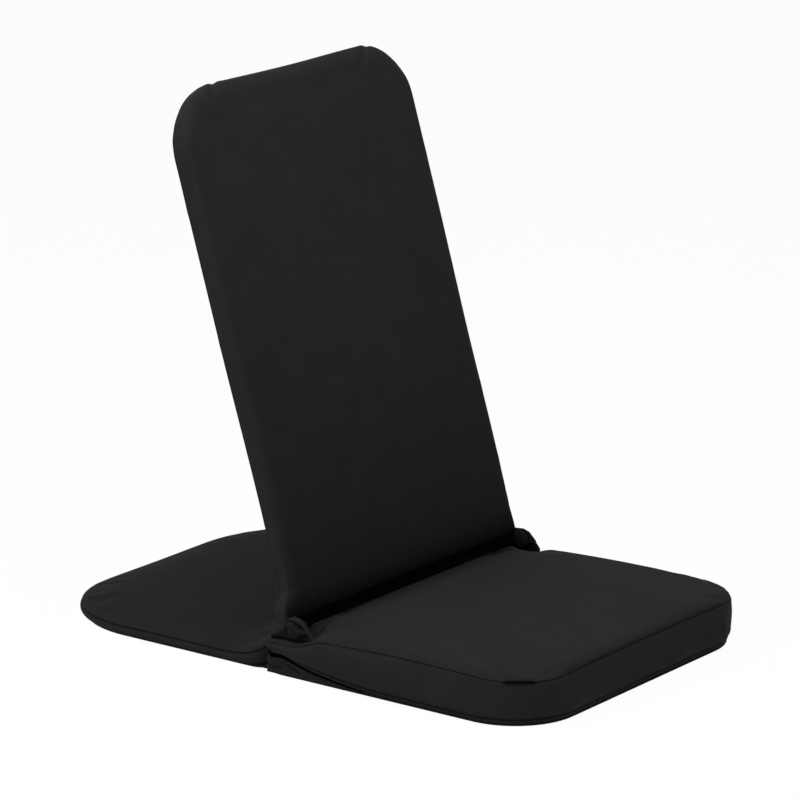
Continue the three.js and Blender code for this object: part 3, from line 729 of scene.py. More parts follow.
def seat_darkness(fine, seams):
    """Painted shade for each point of the seat pad: in its seams, slit and creases, along its front
    edge, and where the back shades it.
    """
    x, y, z = np.abs(fine[:, 0]), fine[:, 1], fine[:, 2]
    hinge_end = smooth(0.150, 0.180, x) * smooth(-0.080, -0.050, y)
    dark = 0.95 * smooth(0.0, 0.7, seam_marks(fine, seams, 0.0016))
    dark *= 1 - 0.75 * hinge_end * (z > 0.028)
    dark = np.maximum(dark, 1.15 * near_path(fine, SEAT_SLIT, 0.0026))
    for side in (-1, 1):
        ahead = np.array(seat_crease(side)) + np.array([0, -0.0062, -0.0015])
        dark = np.maximum(dark, 0.8 * smooth(0.055, 0.110, x) * near_path(fine, ahead, 0.0020))
    # Painted shade behind and just in front of the back's foot
    behind = smooth(-0.030, -0.018, y) * (x < 0.184)
    dark = np.maximum(dark, 0.85 * behind * (z > 0.02))
    front = smooth(0.0075, 0.0, y - seams[1][:, 1].min()) * (z > 0.0475)
    dark = np.maximum(dark, 0.35 * front * (x < 0.15))
    shade = smooth(-0.064, -0.030, y) * smooth(-0.185, -0.110, fine[:, 0])
    dark = np.maximum(dark, 0.62 * shade ** 1.6 * (z > 0.044))
    edge = smooth(-0.047, -0.031, y) * (1 - smooth(0.150, 0.180, x))
    return np.maximum(dark, 0.80 * edge * (z > 0.044))


BOXING_ROWS = 10
CREASE_WIDTH, CREASE_RISE = 0.0024, 0.0021
SLIT_WIDTH, SLIT_DEPTH = 0.0024, -0.0030


def make_seat_pad():
    """The thick pad that is sat on."""
    pad = settings("seat_pad")
    half, low, high = SEAT_HIGH.x - 0.001, SEAT_LOW.y + 0.001, 0.0120
    plan = PadPlan(half, low, high, pad.front_corner, pad.rear_corner, 0.0010, 96, 80)
    base = plan.panel(0.010)
    bottom = lift(base, seat_floor(base))
    rings = []

    def ring(inset, height_of):
        loop = plan.loop(inset)
        rings.append(lift(loop, height_of(loop)))
        return len(rings)

    ring(0.0055, lambda flat: seat_floor(flat) + 0.0006)
    ring(0.0034, lambda flat: seat_floor(flat) + 0.0030)
    base_seam = ring(0.0042, lambda flat: seat_floor(flat) + 0.0052)
    for k in range(1, BOXING_ROWS):
        share = k / BOXING_ROWS * 0.985
        bulge = 0.0012 * math.sin(math.pi * share)
        ring(0.0012 - bulge, lambda flat, share=share: (
            (seat_floor(flat) + 0.0056) * (1 - share) + (seat_seam(flat) - 0.0006) * share))
    ring(0.0009, lambda flat: seat_seam(flat) - 0.0019)
    ring(0.0012, lambda flat: seat_seam(flat) - 0.0006)
    top_seam = ring(pad.seam_depth, seat_seam)
    ring(0.0013, lambda flat: seat_seam(flat) + 0.0006)
    ring(0.0018, lambda flat: seat_seam(flat) + 0.0017)
    ring(0.0038, lambda flat: seat_seam(flat) + 0.0028)
    flat = plan.panel(0.0075)
    top = lift(flat, seat_seam(flat) + 0.0034 + pad.crown * crown_share(flat, half, low, high))
    piece, loops = pad_mesh("seat_pad", plan, bottom, rings, top)
    points = coordinates(piece)
    seams = [points[loops[base_seam]], points[loops[top_seam]]]
    held = set(range(len(bottom.reshape(-1, 3)))) | set(loops[base_seam]) | set(loops[top_seam])
    held |= set(loops[1])
    close = seam_marks(points, seams, 0.030)
    swell(piece, held, pad.swell, 0.012, close)
    refine(piece)
    press_folds(piece, mirrored(SEAT_SIDE_FOLDS) + SEAT_FRONT_FOLDS)
    press_path(piece, SEAT_SLIT, SLIT_WIDTH, SLIT_DEPTH, lambda points: np.ones(len(points)))
    for side in (-1, 1):
        crease = np.array(seat_crease(side))
        press_path(piece, crease, CREASE_WIDTH, CREASE_RISE, beside_back)
        press_path(piece, crease + np.array([0, -0.0062, 0]), 0.0020, -0.0019, beside_back)
    paint_shade(piece, seat_darkness(coordinates(piece), seams))
    piece.data.materials.append(cover_cloth())
    line_creases(piece, 0.8)
    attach(piece, "seat")
    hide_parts("seat_foam", "seat_cover_top", "seat_cover_band")
    sew("seat_stitches", piece, seams[0] + np.array([0, 0, 0.0026]), "seat")
    return piece


def back_place(points):
    """Points given as across, up and depth in the back pad, moved to where it leans."""
    across, up, depth = points[..., 0], points[..., 1], points[..., 2]
    placed = np.zeros(points.shape)
    placed[..., 0] = across
    placed[..., 1] = BACK_FOOT.y + up * BACK_UP.y + depth * BACK_DEPTH.y
    placed[..., 2] = BACK_FOOT.z + up * BACK_UP.z + depth * BACK_DEPTH.z
    return placed


def back_drift(points):
    """The cover has slipped a little to the sitter's left, and widens over the cranks."""
    moved = points.copy()
    x, up = points[..., 0], points[..., 1]
    share = np.clip(up / 0.54, 0, 1)
    moved[..., 0] += 0.0035 + 0.0078 * share
    moved[..., 0] -= 0.0019 * np.clip(-x / STEEL_HALF, 0, 1)
    bow = np.where(x < 0, 0.0010, 0.0024) * np.sin(math.pi * share)
    waist = np.where(x < 0, 0.0045 * (1 - smooth(0.10, 0.30, up)),
                     0.0020 * smooth(0.022, 0.050, up) * (1 - smooth(0.10, 0.25, up)))
    moved[..., 0] += (bow + waist) * np.clip(np.abs(x) / STEEL_HALF, 0, 1)
    foot = 1 - smooth(0.020, 0.042, up)
    outer = smooth(0.150, 0.180, np.abs(x))
    deep = smooth(0.006, 0.020, points[..., 2])
    reach = np.where(x < 0, 0.0142 + 0.0030 * deep, 0.0026 + 0.0012 * deep)
    moved[..., 0] += np.sign(x) * outer * foot * reach
    pad = settings("back_pad")
    radius = pad.top_corner
    aside = np.clip(radius - pad.width / 2 - x, 1e-9, None)
    above = np.clip(up - (pad.length - radius), 1e-9, None)
    far = np.hypot(aside, above)
    cut = 0.0020 * (2 * aside * above / far ** 2) ** 2 * np.clip(far / radius, 0, 1)
    moved[..., 0] += cut * aside / far
    moved[..., 1] -= cut * above / far
    forward = np.clip(1 - points[..., 2] / pad.front_round, 0, 1)
    moved[..., 1] -= 0.0120 * forward ** 2 * smooth(pad.length - 0.055, pad.length - 0.010, up)
    return moved


def back_folds(pad):
    """Darts at the top corners, and puckers round them and down both sides."""
    half, top_of_pad = pad.width / 2, pad.length
    folds = []
    for side, inner, outer in ((-1, -0.124, -0.095), (1, 0.122, 0.160)):
        dart = back_place(np.array([
            [inner, top_of_pad - 0.018, 0.0], [inner * 0.6 + outer * 0.4, top_of_pad - 0.004, 0.004],
            [outer, top_of_pad, 0.018]]))
        folds += [(dart[0], dart[1], 0.0034, -0.0020), (dart[1], dart[2], 0.0030, -0.0016)]
        for step in (-0.008, 0.009):
            beside = dart + np.array([step, 0, 0])
            folds += [(beside[0], beside[1], 0.0040, 0.0008), (beside[1], beside[2], 0.004, 0.0004)]
    radius = pad.top_corner
    for side, turns in ((-1, (104, 118, 133, 149, 166)), (1, (70, 52, 33, 15))):
        for k, turn in enumerate(turns):
            a = math.radians(turn)
            x = side * (half - radius) + radius * math.cos(a) + 0.011
            up = top_of_pad - radius + radius * math.sin(a)
            ends = back_place(np.array([[x, up, 0.006 + 0.003 * (k % 3)], [x, up, 0.023]]))
            folds.append((ends[0], ends[1], 0.0040, 0.0007 if k % 2 else -0.0007))
    for up, slant, height in ((0.42, 0.012, 0.0008), (0.30, -0.010, 0.0007), (0.17, 0.014, 0.0009),
                              (0.09, -0.012, 0.0012), (0.055, 0.010, -0.0012)):
        for side in (-1, 1):
            across = side * half + 0.0035 + 0.008 * up / 0.54
            ends = back_place(np.array([[across, up, 0.006], [across, up + slant, 0.024]]))
            folds.append((ends[0], ends[1], 0.006, height))
    return folds


def back_darkness(fine, seams):
    """Painted shade for each point of the back pad: in its rear seam, and at its foot, where the seat
    shades it.
    """
    dark = 0.75 * seam_marks(fine, seams, 0.0017)
    rise = (fine - np.array(BACK_FOOT)) @ np.array(BACK_UP)
    inward = (fine - np.array(BACK_FOOT)) @ np.array(BACK_DEPTH)
    # Painted shade at the foot, darkest where the back meets the seat and fading up the pad
    foot = np.interp(
        rise, [0.012, 0.016, 0.020, 0.026, 0.032, 0.040, 0.050, 0.065, 0.09, 0.13, 0.17, 0.25],
        [0.95, 0.91, 0.82, 0.64, 0.52, 0.42, 0.35, 0.28, 0.20, 0.14, 0.08, 0])
    return np.maximum(dark, foot * (1 - smooth(0.004, 0.009, inward)))


def make_back_pad():
    """The leaning pad, with seams, boxing and a rear panel."""
    pad = settings("back_pad")
    half, top_of_pad = pad.width / 2, pad.length
    plan = PadPlan(half, 0.0025, top_of_pad, 0.008, pad.top_corner, 0.0010, 84, 124)
    thick = pad.thickness

    def hem(flat, depth):
        """Raises the bottom of the pad towards its rear."""
        raised = flat.copy()
        share = pad.hem_rise * depth / thick
        raised[..., 1] += share * (1 - smooth(0.0, 0.070, flat[..., 1]))
        return raised

    def ring(inset, depth):
        rings.append(lift(hem(plan.loop(inset), depth), depth))
        return len(rings)

    rings = []
    rear = plan.panel(0.0100)
    bulge = 0.0012 * crown_share(rear, half, 0, top_of_pad)
    bottom = lift(hem(rear, thick), thick - 0.0008 + bulge)
    ring(0.0058, thick - 0.0014)
    ring(0.0036, thick - 0.0030)
    rear_seam = ring(0.0046, thick - 0.0046)
    ring(0.0026, thick - 0.0060)
    for share in (0.25, 0.5, 0.75, 1.0):
        depth = (thick - 0.0075) * (1 - share) + pad.front_round * share
        ring(0.0016 * (1 - share), depth)
    for turn in (22.5, 45.0, 67.5):
        angle = math.radians(turn)
        ring(pad.front_round * (1 - math.cos(angle)), pad.front_round * (1 - math.sin(angle)))
    front = plan.panel(pad.front_round)
    top = lift(front, 0.0004 - 0.0010 * crown_share(front, half, 0, top_of_pad))
    piece, loops = pad_mesh("back_pad", plan, bottom, rings, top)
    flat_points = back_drift(coordinates(piece))
    set_coordinates(piece, back_place(flat_points))
    points = coordinates(piece)
    seams = [points[loops[rear_seam]]]
    flared = (flat_points[:, 1] < 0.030) & (np.abs(flat_points[:, 0]) > 0.165)
    held = set(loops[rear_seam]) | set(np.flatnonzero((flat_points[:, 1] < 0.004) | flared))
    close = seam_marks(points, seams, 0.035)
    swell(piece, held, pad.swell, 0.010, close)
    refine(piece)
    valley = back_place(np.array([
        [-0.140, top_of_pad - 0.046, 0], [-0.095, top_of_pad - 0.030, 0],
        [0.060, top_of_pad - 0.031, 0], [0.138, top_of_pad - 0.026, 0]]))
    press_path(piece, valley, 0.011, -0.0017,
               lambda points: 1 - smooth(0.095, 0.140, np.abs(points[:, 0])))
    press_folds(piece, back_folds(pad))
    paint_shade(piece, back_darkness(coordinates(piece), seams))
    piece.data.materials.append(cover_cloth())
    line_creases(piece, 0.93)
    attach(piece, "back")
    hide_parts("back_foam_front", "back_foam_rear", "back_cover_front",
                "back_cover_band", "back_cover_rear")
    sew("back_stitches", piece, seams[0] - 0.0028 * np.array(BACK_DEPTH), "back")
    return piece


def tail_seam(flat):
    """Height of the tail's seam: its front edge is raised behind the back pad."""
    pad = settings("tail_pad")
    x, y = np.abs(flat[..., 0]), flat[..., 1] - FOLD_Y
    near = np.clip(1 - y / 0.060, 0, 1) ** 2
    across = np.clip(x / TAIL_HIGH.x, 0, 1)
    return pad.seam_height + (0.009 + 0.026 * (1 - across ** 4)) * near


def make_tail_pad():
    """The thin pad behind the back."""
    pad = settings("tail_pad")
    half, low, high = TAIL_HIGH.x, TAIL_LOW.y, TAIL_HIGH.y
    plan = PadPlan(half, low + 0.001, high + 0.004, pad.front_corner, pad.rear_corner,
                   0.0008, 88, 68)
    base = plan.panel(0.006)
    bottom = lift(base, 0.0012)
    rings = []

    def ring(inset, height_of):
        loop = plan.loop(inset)
        rings.append(lift(loop, height_of(loop)))
        return len(rings)

    ring(0.0024, lambda flat: 0.0018 + 0 * flat[..., 0])
    for share in (0.2, 0.5, 0.8):
        bulge = 0.0006 * math.sin(math.pi * share)
        ring(0.0008 - bulge, lambda flat, share=share: (
            0.0030 * (1 - share) + (tail_seam(flat) - 0.0006) * share))
    top_seam = ring(0.0022, tail_seam)
    ring(0.0012, lambda flat: tail_seam(flat) + 0.0008)
    ring(0.0030, lambda flat: tail_seam(flat) + 0.0022)
    flat = plan.panel(0.0070)
    top = lift(flat, tail_seam(flat) + 0.0030 + pad.crown * crown_share(flat, half, low, high))
    piece, loops = pad_mesh("tail_pad", plan, bottom, rings, top)
    points = coordinates(piece)
    seams = [points[loops[top_seam]]]
    held = set(range(len(bottom.reshape(-1, 3)))) | set(loops[top_seam]) | set(loops[1])
    close = seam_marks(points, seams, 0.030)
    swell(piece, held, pad.swell, 0.010, close)
    refine(piece)
    paint_shade(piece, seam_marks(coordinates(piece), seams, 0.0016))
    piece.data.materials.append(cover_cloth())
    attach(piece, "tail")
    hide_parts("tail_foam", "tail_cover_top", "tail_cover_band")
    sew("tail_stitches", piece, seams[0] - np.array([0, 0, 0.0022]), "tail")
    return piece


# Base cloth
def make_base_cloth():
    """The cloth under the seat and tail pads, in one piece, with a row of points along the fold line.
    """
    cells = 60
    seat_plan = PadPlan(
        SEAT_HIGH.x - 0.006, SEAT_LOW.y + 0.006, FOLD_Y, 0.069, 0.020, 0, cells, cells)
    tail_plan = PadPlan(
        TAIL_HIGH.x - 0.003, FOLD_Y, TAIL_HIGH.y - 0.003, 0.020, 0.109, 0, cells, cells)
    front, rear = seat_plan.panel(0), tail_plan.panel(0)
    rows = np.vstack([front, rear[1:]])
    rows[cells] = (front[-1] + rear[0]) / 2
    rows[cells, :, 1] = FOLD_Y
    wide = cells + 1
    low = lift(rows, 0.0001).reshape(-1, 3)
    high = lift(rows, 0.0009).reshape(-1, 3)
    count = len(low)
    points = np.vstack([low, high])
    faces, uvs = [], []
    for j in range(len(rows) - 1):
        for i in range(cells):
            a, d = j * wide + i, (j + 1) * wide + i
            b, c = a + 1, d + 1
            faces.append([d, c, b, a])
            faces.append([count + a, count + b, count + c, count + d])
            uvs.extend(low[k, :2] for k in (d, c, b, a))
            uvs.extend(low[k, :2] for k in (a, b, c, d))
    edge = grid_rim(cells, len(rows) - 1)
    for a, b in zip(edge, edge[1:] + edge[:1]):
        faces.append([a, b, count + b, count + a])
        uvs.extend([low[a, :2], low[b, :2], low[b, :2] + 0.0008, low[a, :2] + 0.0008])
    piece = add_piece("base_cloth", points, faces, uvs)
    paint_shade(piece, np.zeros(len(points)))
    piece.data.materials.append(base_cloth())
    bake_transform(piece)
    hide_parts("seat_cover_base", "tail_cover_base")
    return piece


# Hinge covers
def hull(points):
    """The closed convex shape round some points, as a bmesh."""
    shape = bmesh.new()
    for point in points:
        shape.verts.new(point)
    result = bmesh.ops.convex_hull(shape, input=shape.verts)
    loose = [item for item in result["geom_interior"] + result["geom_unused"]
             if isinstance(item, bmesh.types.BMVert)]
    bmesh.ops.delete(shape, geom=list(set(loose)), context="VERTS")
    bmesh.ops.recalc_face_normals(shape, faces=shape.faces)
    return shape


def disc(centre, radius, reach):
    """Points of a disc that stands across x, from x to x plus reach."""
    turns = np.linspace(0, 2 * math.pi, 25)[:-1]
    return [Vector((centre[0] + step, centre[1] + radius * math.cos(a),
                    centre[2] + radius * math.sin(a))) for a in turns for step in (0, reach)]


def gathered(name, shape, voxel, passes):
    """Cloth drawn over a shape, with its edges softened."""
    mesh = bpy.data.meshes.new(name)
    shape.to_mesh(mesh)
    shape.free()
    piece = bpy.data.objects.new(name, mesh)
    bpy.context.scene.collection.objects.link(piece)
    remesh = piece.modifiers.new("Cloth skin", "REMESH")
    remesh.mode = "VOXEL"
    remesh.voxel_size = voxel
    soften = piece.modifiers.new("Soften", "SMOOTH")
    soften.iterations = passes
    soften.factor = 0.5
    evaluated = piece.evaluated_get(bpy.context.evaluated_depsgraph_get())
    skin = bpy.data.meshes.new_from_object(evaluated)
    piece.modifiers.clear()
    piece.data = skin
    bpy.data.meshes.remove(mesh)
    skin.name = name
    skin.shade_smooth()
    layer = skin.uv_layers.new(name="cloth")
    points = coordinates(piece)
    corners = np.zeros(len(skin.loops), np.int32)
    skin.loops.foreach_get("vertex_index", corners)
    flat = np.column_stack([points[:, 1] + points[:, 0], points[:, 2]])[corners]
    layer.data.foreach_set("uv", flat.ravel())
    return piece


def draped(high_edge, low_edge, inner, out_of, side, columns, rows):
    """Cloth hung beside a hinge, ruled between two edges and closed behind.

    Each edge holds (y, z) pairs from the front to the rear. Returns points, faces and uvs.
    """
    count = len(high_edge)
    along = np.linspace(0, count - 1, columns + 1)
    high, low = [np.column_stack([np.interp(along, np.arange(count), np.asarray(edge)[:, k])
                                  for k in (0, 1)]) for edge in (high_edge, low_edge)]
    share = (1 - (1 - np.linspace(0, 1, rows + 1)) ** 1.3)[:, None, None]
    flat = low + (high - low) * share
    from_top = np.linalg.norm(high - flat, axis=-1)
    step = np.linalg.norm(np.diff(flat, axis=1), axis=-1)
    arc = np.concatenate([np.zeros((rows + 1, 1)), np.cumsum(step, axis=1)], axis=1)
    from_end = np.minimum(arc, arc[:, -1:] - arc)
    edge = np.clip(np.minimum(from_top, from_end) / 0.0022, 0, 1)
    rounding = np.sqrt(1 - (1 - edge) ** 2)
    out = inner + 0.0004 + (out_of(flat) - inner - 0.0004) * rounding
    face = np.concatenate([(side * out)[..., None], flat], axis=-1).reshape(-1, 3)
    rear = np.concatenate([np.full(out.shape + (1,), side * inner), flat], -1).reshape(-1, 3)
    wide, total = columns + 1, len(face)
    faces = []
    for j in range(rows):
        for i in range(columns):
            a, b = j * wide + i, j * wide + i + 1
            faces += [[a, b, b + wide, a + wide],
                      [total + a + wide, total + b + wide, total + b, total + a]]
    rim = grid_rim(columns, rows)
    faces += [[b, a, total + a, total + b] for a, b in zip(rim, rim[1:] + rim[:1])]
    if side < 0:
        faces = [corners[::-1] for corners in faces]
    points = np.vstack([face, rear])
    uvs = [points[k, 1:] for corners in faces for k in corners]
    return points, faces, uvs


def away_from(flat, path):
    """Distance of points (y, z) from a path of (y, z)."""
    points = np.concatenate([np.zeros(flat.shape[:-1] + (1,)), flat], -1).reshape(-1, 3)
    track = [(0, y, z) for y, z in path]
    return path_distance(points, np.asarray(track, float)).reshape(flat.shape[:-1])


# How far the hinge covers reach from the chair's middle plane, inside and outside
GATHER_INNER, GATHER_FACE, GATHER_LEAST = 0.1908, 0.1946, 0.1942
SKIRT_INNER, SKIRT_FACE = 0.1860, 0.1949
BOSS = 0.0021
# Blocks behind them in the crease cloth, painted dark as shade, as inner and outer reach and a (y, z)
# outline
SHADE_LININGS = [
    (0.1864, 0.1940, [(-0.0330, 0.0012), (0.0095, 0.0012), (0.0095, 0.0225),
                      (0.0029, 0.0442), (-0.0087, 0.0477), (-0.0330, 0.0477)]),
    (0.1780, 0.1932, [(-0.1050, 0.0012), (-0.0300, 0.0012), (-0.0300, 0.0200),
                      (-0.0600, 0.0125), (-0.1050, 0.0045)])]
# Their edges and folds, as (y, z) paths, the folds with a half width and a height
GATHER_HIGH = [(-0.0455, 0.0425), (-0.0372, 0.0535), (-0.0310, 0.0594), (-0.0240, 0.0616),
               (-0.0180, 0.0612), (-0.0120, 0.0602), (-0.0085, 0.0562), (-0.0040, 0.0520),
               (0.0010, 0.0486), (0.0050, 0.0446), (0.0078, 0.0395)]
GATHER_LOW = [(-0.0455, 0.0385), (-0.0372, 0.0345), (-0.0310, 0.0322), (-0.0240, 0.0300),
              (-0.0190, 0.0290), (-0.0140, 0.0280), (-0.0100, 0.0270), (-0.0060, 0.0260),
              (-0.0010, 0.0260), (0.0040, 0.0260), (0.0082, 0.0265)]
GATHER_FOLDS = [
    ([(-0.0113, 0.0590), (-0.0106, 0.0549), (-0.0080, 0.0505), (-0.0031, 0.0462),
      (0.0024, 0.0424), (0.0059, 0.0385), (0.0070, 0.0330)], 0.0017, 0.0013),
    ([(-0.0148, 0.0575), (-0.0156, 0.0468), (-0.0148, 0.0350)], 0.0015, 0.0011),
    ([(-0.0180, 0.0570), (-0.0235, 0.0529), (-0.0282, 0.0503), (-0.0345, 0.0500),
      (-0.0400, 0.0492)], 0.0016, 0.0010),
    ([(-0.0185, 0.0500), (-0.0235, 0.0465), (-0.0290, 0.0455)], 0.0013, 0.0005)]
GATHER_CREASES = [
    ([(-0.0129, 0.0520), (-0.0129, 0.0350)], 0.0011, 0.0018),
    ([(-0.0060, 0.0400), (-0.0030, 0.0375), (0.0020, 0.0360)], 0.0026, 0.0014),
    ([(-0.0165, 0.0370), (-0.0219, 0.0388), (-0.0290, 0.0428), (-0.0345, 0.0462),
      (-0.0400, 0.0478)], 0.0022, 0.0016),
    ([(-0.0125, 0.0582), (-0.0180, 0.0590), (-0.0240, 0.0582), (-0.0300, 0.0556),
      (-0.0360, 0.0520)], 0.0010, 0.0012),
    ([(0.0030, 0.0378), (-0.0100, 0.0385), (-0.0220, 0.0385), (-0.0340, 0.0412)],
     0.0030, 0.0008)]
SKIRT_HIGH = [(-0.110, 0.0026), (-0.080, 0.0045), (-0.060, 0.0070), (-0.048, 0.0088),
              (-0.036, 0.0110), (-0.0235, 0.0145), (-0.0133, 0.0172), (-0.0054, 0.0186),
              (0.0048, 0.0180), (0.0110, 0.0178), (0.0140, 0.0166)]
SKIRT_FOLDS = [
    ([(0.012, 0.0132), (0.004, 0.0095), (-0.006, 0.0112)], 0.0015, 0.0009),
    ([(0.012, 0.0070), (0.000, 0.0040), (-0.012, 0.0072)], 0.0015, 0.0009),
    ([(-0.010, 0.0128), (-0.022, 0.0085), (-0.042, 0.0050)], 0.0015, 0.0008),
    ([(-0.030, 0.0100), (-0.055, 0.0050), (-0.100, 0.0018)], 0.0012, 0.0007)]
SKIRT_CREASES = [
    ([(0.012, 0.0102), (0.003, 0.0064), (-0.008, 0.0088)], 0.0010, 0.0008),
    ([(-0.006, 0.0140), (-0.018, 0.0108), (-0.030, 0.0072)], 0.0010, 0.0008)]


def hinge_darkness(flat, gather, skirt):
    """Painted shade for each point of a hinge cover: lighter on its folds as a painted highlight,
    darker in its creases and behind it. Its gather comes first, then its skirt.
    """
    dark = np.full(len(flat), 0.9)
    cloth, hem = flat[:gather], flat[gather:gather + skirt]
    tone = np.full(gather, 0.68)
    for (path, width, _), lit in zip(GATHER_FOLDS, (1.0, 0.75, 0.6, 0.3)):
        tone *= 1 - lit * np.exp(-(away_from(cloth, path) / (1.3 * width)) ** 2)
    for (path, width, _), deep in zip(GATHER_CREASES, (1.05, 0.95, 1.1, 1.05, 1.1)):
        tone = np.maximum(tone, deep * np.exp(-(away_from(cloth, path) / width) ** 2))
    # Painted highlight along the gather's top edge, painted shade over the rest
    dark[:gather] = tone * smooth(0.0006, 0.0022, away_from(cloth, GATHER_HIGH))
    tone = np.full(skirt, 0.12)
    for path, width, _ in SKIRT_CREASES:
        tone = np.maximum(tone, 0.75 * np.exp(-(away_from(hem, path) / width) ** 2))
    dark[gather:gather + skirt] = tone
    return dark


def make_hinge_cover(side):
    """The gathered cloth beside a hinge, the hem below it and blocks behind both in cloth painted
    dark as shade.
    """
    name = "hinge_cover_left" if side > 0 else "hinge_cover_right"

    def relief(flat, base, folds, creases):
        out = base + 0 * flat[..., 0]
        for path, width, height in folds:
            out += height * np.exp(-(away_from(flat, path) / width) ** 2)
        for path, width, depth in creases:
            out -= depth * np.exp(-(away_from(flat, path) / width) ** 2)
        return out

    def gather_out(flat):
        far = np.linalg.norm(flat - np.array([PIN.y, PIN.z]), axis=-1)
        boss = 1 - smooth(0.0058, 0.0098, far)
        plain = relief(flat, GATHER_FACE, GATHER_FOLDS, GATHER_CREASES)
        return np.maximum(plain + BOSS * boss, GATHER_LEAST + 0.0024 * boss)

    def skirt_out(flat):
        taper = 0.0016 * (1 - smooth(-0.110, -0.040, flat[..., 0]))
        return relief(flat, SKIRT_FACE - taper, SKIRT_FOLDS, SKIRT_CREASES)

    skirt_low = [(y, 0.0006) for y, z in SKIRT_HIGH]
    parts = [draped(GATHER_HIGH, GATHER_LOW, GATHER_INNER, gather_out, side, 110, 56),
             draped(SKIRT_HIGH, skirt_low, SKIRT_INNER, skirt_out, side, 120, 16)]
    for inner, out, outline in SHADE_LININGS:
        solid = hull([Vector((side * x, y, z)) for x in (inner, out) for y, z in outline])
        solid.verts.index_update()
        points = np.array([vertex.co for vertex in solid.verts])
        faces = [[vertex.index for vertex in face.verts] for face in solid.faces]
        parts.append((points, faces, [points[k, 1:] for corners in faces for k in corners]))
        solid.free()
    points, faces, uvs, shade_lined = [], [], [], []
    start = 0
    for k, (more, corners, flat) in enumerate(parts):
        points.append(more)
        faces += [[start + index for index in face] for face in corners]
        uvs += list(flat)
        shade_lined += [k > 1] * len(corners)
        start += len(more)
    points = np.vstack(points)
    piece = add_piece(name, points, faces, uvs)
    paint_shade(piece, hinge_darkness(points[:, 1:], len(parts[0][0]), len(parts[1][0])))
    piece.data.materials.append(cover_cloth())
    line_creases(piece, 0.99)
    # The blocks behind take the crease cloth, painted dark as shade
    for index, deep in enumerate(shade_lined):
        if deep:
            piece.data.polygons[index].material_index = 1
            piece.data.polygons[index].use_smooth = False
    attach(piece, "seat")
    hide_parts("hinge_boot_left" if side > 0 else "hinge_boot_right")
    return piece


# Crank socks: reach from the middle plane, thickness, and the crank's upper end as (y, z)
SOCK_INNER, SOCK_THICKNESS = 0.1862, 0.0041
CRANK_TOP = (-0.0036, 0.0570)
SOCK_DOME = ((0.1829, 0.0046), (0.1836, 0.0062), (0.1847, 0.0077))


def make_crank_sock(side):
    """Cloth round a crank, darkened with painted shade, which swings with the back."""
    name = "crank_sock_left" if side > 0 else "crank_sock_right"
    points = disc((side * SOCK_INNER, PIN.y, PIN.z), 0.0087, side * SOCK_THICKNESS)
    points += disc((side * SOCK_INNER, *CRANK_TOP), 0.0081, side * SOCK_THICKNESS)
    for inner, radius in SOCK_DOME:
        points += disc((side * inner, PIN.y, PIN.z), radius, side * 0.0010)
    piece = gathered(name, hull(points), 0.0008, 3)
    # Painted shade over the whole sock
    paint_shade(piece, np.full(len(piece.data.vertices), 0.55))
    piece.data.materials.append(cover_cloth())
    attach(piece, "back")
    return piece


# Stitches
def thread_material():
    """Black sewing thread."""
    found = bpy.data.materials.get("thread_black")
    if found:
        return found
    nodes = NodeTree("thread_black")
    place = nodes.add("TexCoord").outputs["Object"]
    twist = nodes.add("TexNoise", Vector=place, Scale=2400.0, Detail=2.0)
    shade = nodes.math("MULTIPLY_ADD", twist.outputs["Fac"], 0.6, 0.7)
    bump = nodes.add("Bump", Strength=0.4, Distance=0.00005, Height=twist.outputs["Fac"])
    return nodes.shaded(THREAD, shade, 0.7, bump, Specular_IOR_Level=0.08)


